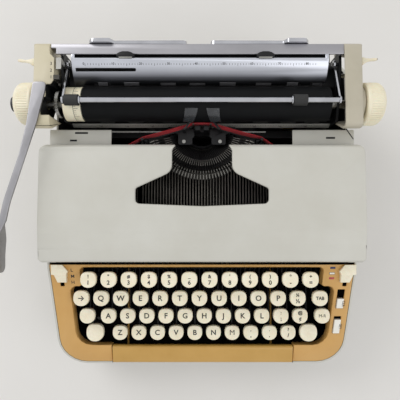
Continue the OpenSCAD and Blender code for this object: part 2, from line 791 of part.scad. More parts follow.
// Sheet metal table behind the platen that carries the paper
table_left = frame_left + 11.7;
table_right = frame_right - 14;
module paper_table() {
    low = [platen_y + 16.5, 110.5];
    bend = [129.2, 119.6];
    high = [143.4, 124];
    // hollow curve of the plate, from its lower to its upper edge
    curve = [for (t = [0:0.125:1]) (1 - t) * (1 - t) * low + 2 * t * (1 - t) * bend + t * t * high];
    color("#b8bac0") difference() {
        along_x(table_left, table_right) polygon(concat(
            curve,
            [for (i = [len(curve) - 1:-1:0]) curve[i] + [0.5, -0.8]]
        ));
        // windows over the feed rollers
        for (x = roller_spots) {
            block([x - 7.5, low[0] - 2, 108], [x + 7.5, low[0] + 2, 116]);
        }
        // long slot near the left end
        upright(115, 124) polygon(rounded([
            [table_left + 3.2, 132.6], [table_left + 58.7, 132.6],
            [table_left + 58.7, 135.3], [table_left + 3.2, 135.3]
        ], [0, 1.3, 1.3, 0], 4));
    }
    // tabs to the rail at both ends
    color("#b8bac0") for (x = [table_left, table_right - 3.2]) {
        block([x, high[0] - 0.5, 122.7], [x + 3.2, rail_bar_y, 124]);
    }
}

// Graduated scale in front of the platen, just under the printing line
module line_scale() {
    color("#a9aaa6") {
        along_x(frame_left + plate_t, frame_right - plate_t) polygon([
            [fan_y, print_z - 21.6], [fan_y + 0.8, print_z - 22],
            [fan_y + 3.5, print_z - 17.1], [fan_y + 2.7, print_z - 16.7]
        ]);
    }
}

// Curved trough that leads the paper round the platen
module paper_deflector() {
    color("#4a4b4e") difference() {
        along_x(frame_left + plate_t, frame_right - plate_t) {
            platen_arc(platen_r + 1, platen_r + 1.8, 254, 352, 18);
        }
        for (x = roller_spots) {
            block([x - 9, platen_y + 8, 84], [x + 9, platen_y + 16.9, 98]);
        }
    }
}

// Rack of tab stops behind the platen
module tab_rack() {
    stops = floor((frame_right - frame_left - 30) / char_w);
    color("#7d7f82") {
        block([frame_left + plate_t, 127.8, 96], [frame_right - plate_t, 130.2, 101]);
        for (i = [0:4:stops]) {
            x = frame_left + 16 + i * char_w;
            block([x, 130.2, 95], [x + 0.9, 132, 102.5]);
        }
    }
}

// Rubber sleeve of the platen
module platen_roller() {
    color("#222224") difference() {
        rod_x(platen_r, platen_left + collar_len, platen_right, platen_y, print_z);
        rod_x(shaft_r, platen_left, platen_right + 1, platen_y, print_z);
    }
}

// Platen shaft with its line space ratchet wheel
module platen_shaft() {
    teeth = 30;
    color("#9b9da0") {
        rod_x(shaft_r, knob_left_x - knob_len + 4, knob_right_x + knob_len - 3, platen_y, print_z);
        translate([frame_left - 5.5, platen_y, print_z]) rotate([90, 0, 90]) linear_extrude(3)
            polygon([for (i = [0:teeth * 2 - 1])
                (i % 2 == 0 ? 12.8 : 11.4) * [cos(i * 180 / teeth), sin(i * 180 / teeth)]]);
    }
}

// Graduated collar at the platen's left end
module platen_collar() {
    color("#d8c9a6") difference() {
        rod_x(platen_r - 0.1, platen_left, platen_left + collar_len, platen_y, print_z);
        rod_x(shaft_r, platen_left - 1, platen_left + collar_len + 1, platen_y, print_z);
    }
}

// Fluted platen knob that points along +X from its inner face
module knob_solid(bore) {
    grooves = 36;
    difference() {
        rotate([0, 90, 0]) rotate_extrude() polygon(concat(
            [[bore, 0], [knob_r - 1.5, 0], [knob_r, 1.5]],
            [for (i = [0:6]) [knob_r - 12 + 12 * cos(i * 15), knob_len - 8 + 8 * sin(i * 15)]],
            [[bore, knob_len]]
        ));
        for (i = [0:grooves - 1]) {
            rotate([i * 360 / grooves, 0, 0]) translate([3, -0.5, knob_r - 0.7])
                cube([knob_len - 9, 1, 2]);
        }
    }
}
module knob_left() {
    color("#f4edd2") translate([knob_left_x, platen_y, print_z]) mirror([1, 0, 0]) difference() {
        knob_solid(shaft_r);
        rod_x(button_r + pin_gap, knob_len - 5, knob_len + 1, 0, 0);
    }
}
module knob_right() {
    color("#ded6c4") translate([knob_right_x, platen_y, print_z]) knob_solid(shaft_r);
}
button_r = 7;

// Black button that frees the platen from its ratchet
module clutch_button() {
    color("#1d1d1f") {
        rod_x(button_r, knob_left_x - knob_len - 4.2, knob_left_x - knob_len + 1.4, platen_y, print_z);
    }
}

// Bail that holds the paper down, with its two arms
bail_arm_left = frame_left + plate_t + 2.5;
bail_arm_right = frame_right - plate_t - 2.5;
module bail_arm(x0, x1) {
    along = [bail_y, bail_z] - bail_pivot;
    angle = atan2(along[1], along[0]);
    difference() {
        union() {
            rod_x(3.6, x0, x1, bail_pivot[0], bail_pivot[1]);
            rod_x(3.6, x0, x1, bail_y, bail_z);
            translate([x0, bail_pivot[0], bail_pivot[1]]) rotate([angle, 0, 0])
                translate([0, 0, -1.8]) cube([x1 - x0, norm(along), 3.6]);
        }
        rod_x(pivot_pin_r + pin_gap, x0 - 1, x1 + 1, bail_pivot[0], bail_pivot[1]);
    }
}
bail_roller_spots = [frame_left + 7.6, frame_right - 47.4];
bail_roller_w = 12.2;
module paper_bail() {
    color("#d3d5d8") {
        bail_arm(bail_arm_left, bail_arm_left + 1.6);
        bail_arm(bail_arm_right - 1.6, bail_arm_right);
        difference() {
            rod_x(bail_r, bail_arm_left, bail_arm_right, bail_y, bail_z);
            for (x = bail_roller_spots) {
                difference() {
                    rod_x(bail_r + 1, x - 0.3, x + bail_roller_w + 0.3, bail_y, bail_z);
                    rod_x(bail_r - 0.5, x - 1, x + bail_roller_w + 1, bail_y, bail_z);
                }
            }
        }
    }
}

// Two rubber rollers that turn on the bail
module bail_rollers() {
    color("#1b1b1d") for (x = bail_roller_spots) {
        difference() {
            rod_x(bail_roller_r, x, x + bail_roller_w, bail_y, bail_z);
            rod_x(bail_r - 0.5 + pin_gap, x - 1, x + bail_roller_w + 1, bail_y, bail_z);
        }
    }
}

// Long lever that spaces the line and pulls the carriage back: a flat strip from the
// stud forward, turned on edge at its end
far = lever_reach / 165;
function lever_at(pts) = [for (p = pts) [return_x + p[0], return_y + p[1] * far]];
module return_lever() {
    base_z = cap_top + 0.4;
    color("#a5a6a8") {
        difference() {
            upright(base_z, base_z + 2.6) polygon(rounded(lever_at([
                [6.7, 6], [-5.3, 6], [-8, -13.8], [-10.4, -33], [-16.2, -60], [-23.5, -83.7],
                [-28.9, -101.4], [-31.2, -113.3], [-33.7, -130.5], [-31.5, -130.5],
                [-26.2, -119.1], [-23, -103.2], [-18.4, -87.8], [-11.2, -64],
                [-1.9, -34], [1.7, -19.9], [5.9, -2]
            ]), [3, 3, 60, 60, 60, 60, 60, 60, 0, 0, 8, 60, 60, 60, 60, 60, 8], 3));
            rod_z(3 + pin_gap, base_z - 1, cap_top + 2.2, return_x, return_y);
        }
        // end on edge, that the hand pushes
        intersection() {
            upright(base_z - 13, base_z + 2.6) polygon(lever_at([
                [-31, -112.3], [-33.7, -130.5], [-34.2, -150], [-33.4, -165],
                [-31.2, -165], [-32, -150], [-31.5, -130.5], [-28.8, -112.3]
            ]));
            along_x(return_x - 40, return_x) polygon(rounded([
                [return_y - 112.3 * far, base_z + 2.6], [return_y - 112.3 * far, base_z],
                [return_y - 134 * far, base_z - 12.4], [return_y - 165 * far, base_z - 11],
                [return_y - 165 * far, base_z + 2.6]
            ], [0, 0, 12, 6, 5], 4));
        }
    }
}

// Small lever that sets one, two or three line spaces
module line_space_selector() {
    color("#3c3d40") difference() {
        union() {
            rod_x(4, frame_left - 2.4, frame_left - 0.5, 124, 112);
            block([frame_left - 2.4, 122.5, 112], [frame_left - 0.5, 125.5, 128.5]);
            block([frame_left - 2.4, 122, 126.5], [frame_left + 2.8, 126, 128.5]);
        }
        rod_x(1.6 + pin_gap, frame_left - 5, frame_left + 2, 124, 112);
    }
}

// Cross shaft with a finger lever at each end of the carriage
module carriage_release() {
    color("#e0d5ba") {
        rod_x(release_r, frame_left - 25, frame_right + 21, release_y, release_z);
        for (x = [frame_left - 27, frame_right + 19.2]) {
            along_x(x, x + 3) polygon(rounded([
                [release_y - 3, release_z - 3], [release_y + 3, release_z - 3],
                [release_y + 14, release_z + 12], [release_y + 8, release_z + 13.5]
            ], [2, 2, 2, 2], 4));
        }
        block([frame_left - 42, release_y + 8.5, release_z + 10.5],
            [frame_left - 24.5, release_y + 13, release_z + 13]);
        block([frame_right + 20, release_y + 8.5, release_z + 10.5],
            [frame_right + 37, release_y + 13, release_z + 13]);
    }
}

// Flat lever that frees the paper
paper_free = [136.5, 107.5];
module paper_release_lever() {
    inner = frame_left + plate_t + 0.3;
    color("#c8c9cb") difference() {
        union() {
            rod_x(3.6, inner, inner + 1.4, paper_free[0], paper_free[1]);
            along_x(inner, inner + 1.4) polygon([
                [134.5, 107.5], [138.8, 107.5], [141.5, 124], [141.5, 128], [137.5, 128]
            ]);
            block([inner - 3, 131.5, 126.4], [inner + 1.4, 142, 128]);
        }
        rod_x(pivot_pin_r + pin_gap, inner - 1, inner + 3, paper_free[0], paper_free[1]);
    }
}

// Feed roller under the platen, with rubber sleeves on a thin shaft
module feed_roller(at) {
    rod_x(feed_pin_r, frame_left + 0.3, frame_right - 0.3, at[0], at[1]);
    for (x = roller_spots) {
        rod_x(feed_r, x - 7, x + 7, at[0], at[1]);
    }
}
module feed_roller_front() {
    color("#2a2a2c") feed_roller(feed_front);
}
module feed_roller_rear() {
    color("#2a2a2c") feed_roller(feed_rear);
}

// Margin stop that slides on the rear rail, hooked round its front edge
module margin_stop(x) {
    color("#202124") translate([x, rail_bar_y, 0]) {
        along_x(-8, 8) polygon([
            [-3.4, 124.8], [-2.1, 124.8], [-2.1, 119], [3, 119], [3, 121.8], [-0.2, 121.8],
            [-0.2, 124.2], [-0.2, 125.4], [-3.4, 125.4]
        ]);
        // arched jaw over the rail's edge
        upright(124.2, 127.6) polygon([
            [-8, -3.4], [8, -3.4], [8, -1.4], [5.6, 0.3], [2.6, 1.2],
            [-2.6, 1.2], [-5.6, 0.3], [-8, -1.4]
        ]);
        block([-6, -5, 124.8], [6, -3.4, 126.6]);
    }
}
module margin_stop_left() {
    margin_stop(-69.4);
}
module margin_stop_right() {
    margin_stop(57.5);
}

// Chrome arm that swings up behind a tall sheet; dir points away from the pivot
module paper_support(x, dir) {
    y0 = rail_bar_y + 9.8;
    color("#cfd1d4") translate([x, y0, support_z]) mirror([dir < 0 ? 1 : 0, 0, 0]) difference() {
        union() {
            rod_y(4, 0, 1.6, 0, 0);
            block([0, 0, -1.5], [support_len - 22, 1.6, 4]);
            translate([0, 1.6, 0]) rotate([90, 0, 0]) linear_extrude(1.6) polygon(rounded([
                [support_len - 24, -1.5], [support_len - 6, -1.5], [support_len, 3],
                [support_len - 4, 9], [support_len - 20, 9], [support_len - 24, 4]
            ], [0, 4, 2, 4, 3, 0], 4));
        }
        rod_y(2 + pin_gap, -1, 3, 0, 0);
    }
}
module paper_support_left() {
    paper_support(support_left_x, -1);
}
module paper_support_right() {
    paper_support(support_right_x, 1);
}

// Drum of the spring that pulls the carriage to the left
drum_x = -88;
drum_y = 116;
drum_z = 40;
drum_r = 20;
module mainspring_drum() {
    color("#6a6c6f") difference() {
        union() {
            rod_y(drum_r, drum_y, drum_y + 12, drum_x, drum_z);
            rod_y(drum_r + 1.5, drum_y, drum_y + 1, drum_x, drum_z);
            rod_y(drum_r + 1.5, drum_y + 11, drum_y + 12, drum_x, drum_z);
        }
        rod_y(3 + pin_gap, drum_y - 1, drum_y + 13, drum_x, drum_z);
    }
}

// Escapement: the pinion under the rack and its star wheel, on one shaft
module escapement_wheel() {
    star = 20;
    color("#8f8a72") translate([pinion_x, pinion_y, 0]) difference() {
        union() {
            translate([0, 0, deck_z - 3.2]) linear_extrude(2.8) polygon([
                for (i = [0:pinion_teeth - 1]) each pinion_tooth(-90 + i * 360 / pinion_teeth)
            ]);
            translate([0, 0, 66]) linear_extrude(2) polygon([
                for (i = [0:star - 1]) each [
                    13.5 * [cos(i * 360 / star), sin(i * 360 / star)],
                    11 * [cos((i + 0.15) * 360 / star), sin((i + 0.15) * 360 / star)],
                    11 * [cos((i + 0.8) * 360 / star), sin((i + 0.8) * 360 / star)]
                ]
            ]);
            rod_z(4, 62.9, deck_z - 0.4, 0, 0);
        }
        rod_z(2 + pin_gap, 60, deck_z + 1, 0, 0);
    }
}
// One tooth of the pinion, centred on angle a
function pinion_tooth(a) =
    [for (p = [[-8.3, pinion_r - 1.1], [-2.2, pinion_r + 0.6],
        [2.2, pinion_r + 0.6], [8.3, pinion_r - 1.1]])
        p[1] * [cos(a + p[0] / 1.6), sin(a + p[0] / 1.6)]];

// Ribbon spool with its wound ribbon, seen as one turned piece
module ribbon_spool(x, wound_r) {
    color("#8a1a20") translate([x, spool_y, 0]) difference() {
        union() {
            rod_z(26, 87, 88.2, 0, 0);
            rod_z(26, 103.6, 104.8, 0, 0);
            rod_z(wound_r, 88, 103.8, 0, 0);
        }
        rod_z(spool_post_r + pin_gap, 80, 110, 0, 0);
        for (a = [0:60:300]) {
            rotate([0, 0, a]) rod_z(2.4, 102, 106, 8, 0);
        }
    }
}
module ribbon_spool_left() {
    ribbon_spool(-spool_x, wound_left);
}
module ribbon_spool_right() {
    ribbon_spool(spool_x, wound_right);
}

// Fork that lifts the ribbon in front of the printing point
module ribbon_vibrator() {
    color("#6d6f72") {
        for (s = [-1, 1]) {
            mirror([s < 0 ? 1 : 0, 0, 0]) {
                block([7.4, fan_y - 1.5, 78], [9.2, fan_y - 0.5, ribbon_low + ribbon_w + 1.5]);
            }
        }
        block([-9.2, fan_y - 1.5, 75], [9.2, fan_y - 0.5, 79]);
        block([-3, fan_y - 1.5, lever_bottom + 5], [3, fan_y - 0.5, 76]);
    }
}

// A child solid turned to each place of the fan
module on_fan(rank) {
    translate([0, fan_y, 0]) rotate([0, 0, (rank - 21.5) * bar_step]) translate([0, -pivot_r, pivot_z])
        children();
}
// Slotted half ring that carries the type bars, with the rest that they lie on
module type_segment() {
    span = 43 * bar_step + 8;
    low = seg_bottom - pivot_z;
    color("#2b2c2e") {
        difference() {
            translate([0, fan_y, pivot_z]) rotate([0, 0, -90 - span / 2]) rotate_extrude(angle = span)
                polygon([
                    [seg_in, low], [rest_out, low], [rest_out, rest_height(rest_out)],
                    [rest_in, rest_height(rest_in)], [rest_in, low + 3], [seg_out, low + 3],
                    [seg_out, (seg_out - pivot_r) * tan(bar_rise) + 1.4],
                        [pivot_r + 2, 2.6], [seg_in, -3]
                ]);
            for (rank = [0:43]) {
                on_fan(rank) translate([-bar_t / 2 - slot_gap, -14, -4.2])
                    cube([bar_t + 2 * slot_gap, 22, 30]);
            }
        }
        // wire that the bars turn on, seen in each slot
        for (rank = [0:43]) {
            on_fan(rank) rod_x(wire_r, -bar_t / 2 - slot_gap - 0.08, bar_t / 2 + slot_gap + 0.08, 0, 0);
        }
        // ears that slide on the frame's posts
        for (s = [-1, 1]) {
            mirror([s < 0 ? 1 : 0, 0, 0]) difference() {
                block([35, post_y - 13.6, seg_bottom + 0.4],
                    [post_x + 5, post_y + 4.5, seg_bottom + 2.6]);
                rod_z(post_r + pin_gap, seg_bottom - 1, seg_bottom + 4, post_x, post_y);
            }
        }
        // bridge behind the ring, with the guide that the bars swing into
        block([-28.2, fan_y - 6.3, seg_bottom + 1], [28.2, fan_y - 2.2, seg_bottom + 8]);
        difference() {
            block([-6.5, fan_y - 6, seg_bottom + 7], [6.5, fan_y - 2.2, print_z - 4.8]);
            block([-1.7, fan_y - 9, 91], [1.7, fan_y, print_z]);
        }
    }
}
// Height of the felt rest over the pivots, under the bars
function rest_height(r) = (r - pivot_r) * tan(bar_rise) - bar_h / 2 / cos(bar_rise) - 0.3;

// One type bar, drawn at its pivot and pointing at the typist
module type_bar() {
    rotate([-bar_rise, 0, 0]) {
        difference() {
            union() {
                translate([-bar_t / 2, -bar_len + 1.5, -bar_h / 2]) cube([bar_t, bar_len - 1.5, bar_h]);
                rod_x(bar_h / 2 + 0.5, -bar_t / 2, bar_t / 2, 0, 0);
                translate([0, -bar_len, 0]) rotate([slug_lean, 0, 0])
                    translate([-slug_w / 2, -slug_d / 2, -slug_h]) cube([slug_w, slug_d, slug_h]);
            }
            rod_x(wire_r + pin_gap, -1, 1, 0, 0);
        }
    }
}
// Rank of a key's type bar in the fan, from its row and place
function rank_of(r, i) =
    let (slot = round((row_start[r] - row_start[0] + i * key_pitch) / (key_pitch / 4)))
    slot > 1 ? slot - 1 : slot;
h_rank = rank_of(2, h_index);
// Resting type bars, all but the one that is free to swing
module typebars() {
    color("#8e8d86") for (rank = [0:43]) {
        if (rank != h_rank) {
            on_fan(rank) type_bar();
        }
    }
}
// The type bar of the H key
module typebar_h() {
    color("#8e8d86") on_fan(h_rank) type_bar();
}

// Shield shaped key top, with its top face at z = 0
module key_top(w, d) {
    translate([0, 0, -key_h]) linear_extrude(key_h) polygon(rounded([
        [-w / 2, d / 2], [w / 2, d / 2], [w * 0.38, -d / 2], [-w * 0.38, -d / 2]
    ], [4.6, 4.6, 5.2, 5.2], 4));
}
// A key with its stem and lever: at is the key top's place, x_lever where the lever
// passes the comb, and x_rear where it meets the rod
module key_and_lever(at, w, d, x_lever, x_rear) {
    half = lever_t / 2;
    translate(at) key_top(w, d);
    // stem up to the key top
    block([x_lever - half, at[1] - stem_w / 2, lever_bottom],
        [x_lever + half, at[1] + stem_w / 2, at[2] - key_h + 0.5]);
    difference() {
        union() {
            upright(lever_bottom, lever_bottom + lever_h) polygon([
                [x_lever - half, at[1] - stem_w / 2], [x_lever - half, bend_front],
                [x_rear - half, bend_rear], [x_rear - half, fulcrum_y],
                [x_rear + half, fulcrum_y], [x_rear + half, bend_rear],
                [x_lever + half, bend_front], [x_lever + half, at[1] - stem_w / 2]
            ]);
            rod_x(hub_r, x_rear - half, x_rear + half, fulcrum_y, lever_mid);
        }
        rod_x(fulcrum_r + pin_gap, x_rear - 2, x_rear + 2, fulcrum_y, lever_mid);
    }
}
// Where a key's lever meets the rod, under the basket
function fan_x(x) = (x - keys_mid) * fan_pitch / (key_pitch / 4);
// Key i of row r
module typing_key(r, i) {
    x = row_start[r] + i * key_pitch;
    key_and_lever([x, row_y - r * row_pitch, row_top - r * row_rise], key_w, key_d, x, fan_x(x));
}
module typing_row(r) {
    color("#e2dbc3") for (i = [0:row_count[r] - 1]) {
        if (r != 2 || i != h_index) {
            typing_key(r, i);
        }
    }
}
module keys_row_1() {
    typing_row(0);
}
module keys_row_2() {
    typing_row(1);
}
module keys_row_3() {
    typing_row(2);
}
module keys_row_4() {
    typing_row(3);
}
module key_h_lever() {
    color("#e2dbc3") typing_key(2, h_index);
}

// Place of a special key in row r
function key_at(x, r) = [x, row_y - r * row_pitch, row_top - r * row_rise];

// Both shift keys, joined behind the rod so that they move as one
module shift_keys() {
    color("#e2dbc3") {
        key_and_lever(key_at(-108.9, 3), 18, 18, shift_lever_x[0], shift_lever_x[0]);
        key_and_lever(key_at(108.7, 3), 18, 18, shift_lever_x[1], shift_lever_x[1]);
        rod_x(2.5, shift_lever_x[0] - 0.6, shift_lever_x[1] + 0.6, fulcrum_y - 16, lever_mid - 12);
        for (x = shift_lever_x) {
            block([x - lever_t / 2, fulcrum_y - 19, lever_mid - 15],
                [x + lever_t / 2, fulcrum_y - 13, lever_mid]);
        }
    }
}
module shift_lock_key() {
    color("#e2dbc3") key_and_lever(key_at(-113.9, 2), key_w, key_d, lock_lever_x, lock_lever_x);
}
module backspace_key() {
    color("#e2dbc3") key_and_lever(key_at(-117, 1), key_w, key_d, back_lever_x, back_lever_x);
}
module tab_key() {
    color("#e2dbc3") key_and_lever(key_at(114.3, 1), key_w, key_d, tab_lever_x, tab_lever_x);
}
module margin_release_key() {
    color("#e2dbc3") key_and_lever(key_at(119.6, 2), key_w, key_d, release_lever_x, release_lever_x);
}

// Space bar on two arms that turn on a low rod
space_arm_x = keys_mid + 16.5 * key_pitch / 4;
module space_bar() {
    top = front_h + 5.5;
    color("#c09a59") {
        along_x(space_left, space_right) polygon(rounded([
            [front_y + 1.4, front_h - 1.5], [front_y + 1.4, top - 2],
            [well_front - 0.8, top + 3.5], [well_front - 0.8, front_h + 2]
        ], [1, 4, 3, 1], 4));
        for (s = [-1, 1]) {
            x = keys_mid + s * (space_arm_x - keys_mid);
            difference() {
                union() {
                    block([x - 0.8, front_y + 9, space_pivot_z - 4], [x + 0.8, front_y + 15, front_h]);
                    block([x - 0.8, front_y + 9, space_pivot_z - 4],
                        [x + 0.8, space_pivot_y, space_pivot_z + 2]);
                    rod_x(4.5, x - 0.8, x + 0.8, space_pivot_y, space_pivot_z);
                }
                rod_x(2 + pin_gap, x - 2, x + 2, space_pivot_y, space_pivot_z);
            }
        }
    }
}

// Cream finger lever that slides down the slope; pointer is +1 when it points right
module slope_lever(x, pointer) {
    color("#e6dcc0") translate([x, touch_y, 0]) mirror([pointer < 0 ? 1 : 0, 0, 0]) {
        intersection() {
            translate([0, 0, deck_h - 30]) linear_extrude(60) polygon([
                [-7.8, 6.8], [3, 6.8], [7.8, 0.5], [6.5, -2],
                    [5.5, -10.6], [-3, -10.6], [-5, -3], [-7.8, -2.4]
            ]);
            along_x(-20, 20) polygon([
                [12, slope_z(touch_y + 12) + 0.3], [12, slope_z(touch_y + 12) + 1.6],
                [4, slope_z(touch_y + 4) + 2.5], [-2.5, slope_z(touch_y - 2.5) + 5],
                [-11, slope_z(touch_y - 11) + 3.5], [-11, slope_z(touch_y - 11) + 0.3]
            ]);
        }
        block([-1.5, -2, slope_z(touch_y) - 14], [1.5, 1.5, slope_z(touch_y) + 2]);
    }
}
module touch_lever() {
    slope_lever(touch_x, 1);
}
module ribbon_selector() {
    slope_lever(selector_x, -1);
}

// White tab that slides in a slot beside the keys
module tab_slider(y, len) {
    z = slope_z(y);
    color("#eceae2") {
        along_x(slider_x - 3.1, slider_x + 3.1) polygon([
            [y - len, slope_z(y - len) - 6], [y - len, slope_z(y - len) + 1.6],
            [y + len, slope_z(y + len) + 1.6], [y + len, slope_z(y + len) - 6]
        ]);
        block([slider_x - 1.2, y - 1.5, z - 16], [slider_x + 1.2, y + 1.5, z - 3]);
    }
}
module tab_clear_slider() {
    tab_slider(clear_y - 4.6, 5);
}
module tab_set_slider() {
    tab_slider(set_y - 1.4, 7.6);
}

base_shell();
keyboard_surround();
rubber_feet();
chassis();
carriage_rails();
fulcrum_rod();
margin_bell();
type_guide();
ink_ribbon();
frame_screws();
top_cover();
carriage_frame();
end_cap_left();
end_cap_right();
rear_rail();
paper_table();
line_scale();
paper_deflector();
tab_rack();
platen_roller();
platen_shaft();
platen_collar();
knob_left();
knob_right();
clutch_button();
paper_bail();
bail_rollers();
return_lever();
line_space_selector();
carriage_release();
paper_release_lever();
feed_roller_front();
feed_roller_rear();
margin_stop_left();
margin_stop_right();
paper_support_left();
paper_support_right();
mainspring_drum();
escapement_wheel();
ribbon_spool_left();
ribbon_spool_right();
ribbon_vibrator();
type_segment();
typebars();
typebar_h();
key_h_lever();  // key_h
keys_row_1();
keys_row_2();
keys_row_3();
keys_row_4();
shift_keys();
shift_lock_key();
backspace_key();
tab_key();
margin_release_key();
space_bar();
touch_lever();
ribbon_selector();
tab_clear_slider();
tab_set_slider();
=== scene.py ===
import json
import math

import bmesh
import bpy
from mathutils import Matrix, Vector
from mathutils.bvhtree import BVHTree


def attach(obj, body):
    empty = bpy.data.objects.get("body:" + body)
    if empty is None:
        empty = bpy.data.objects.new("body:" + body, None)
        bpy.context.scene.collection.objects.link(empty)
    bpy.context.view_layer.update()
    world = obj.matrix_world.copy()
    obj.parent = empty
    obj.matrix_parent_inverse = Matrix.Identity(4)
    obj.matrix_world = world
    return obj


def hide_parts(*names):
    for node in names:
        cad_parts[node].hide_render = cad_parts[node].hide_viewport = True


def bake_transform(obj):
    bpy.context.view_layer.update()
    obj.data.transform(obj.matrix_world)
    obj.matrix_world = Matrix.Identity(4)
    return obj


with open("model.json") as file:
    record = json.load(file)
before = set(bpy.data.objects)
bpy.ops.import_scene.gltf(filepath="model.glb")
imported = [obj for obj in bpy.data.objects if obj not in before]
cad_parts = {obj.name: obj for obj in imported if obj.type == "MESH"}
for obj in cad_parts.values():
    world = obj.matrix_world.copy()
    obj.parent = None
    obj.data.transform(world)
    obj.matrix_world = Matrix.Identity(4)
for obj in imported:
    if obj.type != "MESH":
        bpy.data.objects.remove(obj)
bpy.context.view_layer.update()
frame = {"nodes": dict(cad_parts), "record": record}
mm = 0.001
fullTurn = 2 * math.pi
bodyOf = {node: body for body, nodes in frame["record"]["behaviour"]["bodies"].items() for node in nodes}

# the camera's place is in mm; the lamps, their aim and the floor are in metres
shot = {"place": (-1.9, -6.0, 480.0), "tilt": 3.2, "lens": 36.0, "film": 36.0}
stage = {"floorSize": 3.0, "floor": ("#dedcd8", "#e6e4e1"), "mottle": 9.0, "rough": 0.9, "air": 0.69, "seenAir": 0.93,
         "aim": (0, 0, 0.08)}
lamps = (  # name, place, size, watts
    ("windowLight", (-1.25, 1.0, 1.15), 1.3, 13.5),
    ("roomLight", (1.35, -0.6, 1.2), 1.6, 6.5),
)


def metres(*point):
    return Vector(point) * mm


def linear(hexColour):
    parts = [int(hexColour[i:i + 2], 16) / 255 for i in (1, 3, 5)]
    return [p / 12.92 if p <= 0.04045 else ((p + 0.055) / 1.055) ** 2.4 for p in parts] + [1.0]


# an input that is given as a socket is linked, any other is set; a hex colour is turned to linear
def addNode(tree, kind, inputs=None, **settings):
    node = tree.nodes.new("ShaderNode" + kind)
    for name, value in settings.items():
        setattr(node, name, value)
    for socket, value in (inputs or {}).items():
        if isinstance(value, bpy.types.NodeSocket):
            tree.links.new(value, node.inputs[socket])
        else:
            node.inputs[socket].default_value = linear(value) if isinstance(value, str) else value
    return node


def addObject(name, data, place=(0, 0, 0)):
    item = bpy.data.objects.new(name, data)
    bpy.context.scene.collection.objects.link(item)
    item.location = place
    return item


def setAir():
    world = bpy.data.worlds.new("room")
    bpy.context.scene.world = world
    world.use_nodes = True
    tree = world.node_tree
    tree.nodes.clear()
    path = addNode(tree, "LightPath").outputs
    seen = addNode(tree, "Math", {0: path["Is Camera Ray"], 1: path["Is Glossy Ray"]}, operation="MAXIMUM")
    seen = addNode(tree, "Math", {0: seen.outputs[0], 1: path["Is Transmission Ray"]}, operation="MAXIMUM")
    level = addNode(tree, "MapRange", {"Value": seen.outputs[0], "To Min": stage["air"], "To Max": stage["seenAir"]})
    air = addNode(tree, "Background", {"Color": (1, 1, 1, 1), "Strength": level.outputs[0]})
    addNode(tree, "OutputWorld", {"Surface": air.outputs[0]})


def setLamps():
    for name, place, size, watts in lamps:
        light = bpy.data.lights.new(name, "AREA")
        light.shape = "DISK"
        light.size = size
        light.energy = watts
        lamp = addObject(name, light, place)
        lamp.rotation_euler = (Vector(stage["aim"]) - Vector(place)).to_track_quat("-Z", "Y").to_euler()


# matt paint: a pale plain floor with a faint mottle that keeps the shadow
def setFloor():
    grid = bmesh.new()
    bmesh.ops.create_grid(grid, x_segments=1, y_segments=1, size=stage["floorSize"] / 2)
    data = bpy.data.meshes.new("floor")
    grid.to_mesh(data)
    grid.free()
    paint = bpy.data.materials.new("matt floor paint")
    paint.use_nodes = True
    tree = paint.node_tree
    shader = tree.nodes["Principled BSDF"]
    place = addNode(tree, "TexCoord").outputs["Object"]
    mottle = addNode(tree, "TexNoise", {"Vector": place, "Scale": stage["mottle"], "Detail": 3.0}).outputs["Fac"]
    low, high = stage["floor"]
    tone = addNode(tree, "Mix", {0: mottle, 6: low, 7: high}, data_type="RGBA").outputs[2]
    tree.links.new(tone, shader.inputs["Base Color"])
    shader.inputs["Roughness"].default_value = stage["rough"]
    data.materials.append(paint)
    addObject("floor", data)


def setCamera():
    film = bpy.data.cameras.new("camera")
    film.lens = shot["lens"]
    film.sensor_width = shot["film"]
    camera = addObject("camera", film, metres(*shot["place"]))
    camera.rotation_euler = (math.radians(shot["tilt"]), 0, 0)
    bpy.context.scene.camera = camera
    bpy.context.scene.view_settings.view_transform = "Standard"


setAir()
setLamps()
setFloor()
setCamera()
print("stage set")

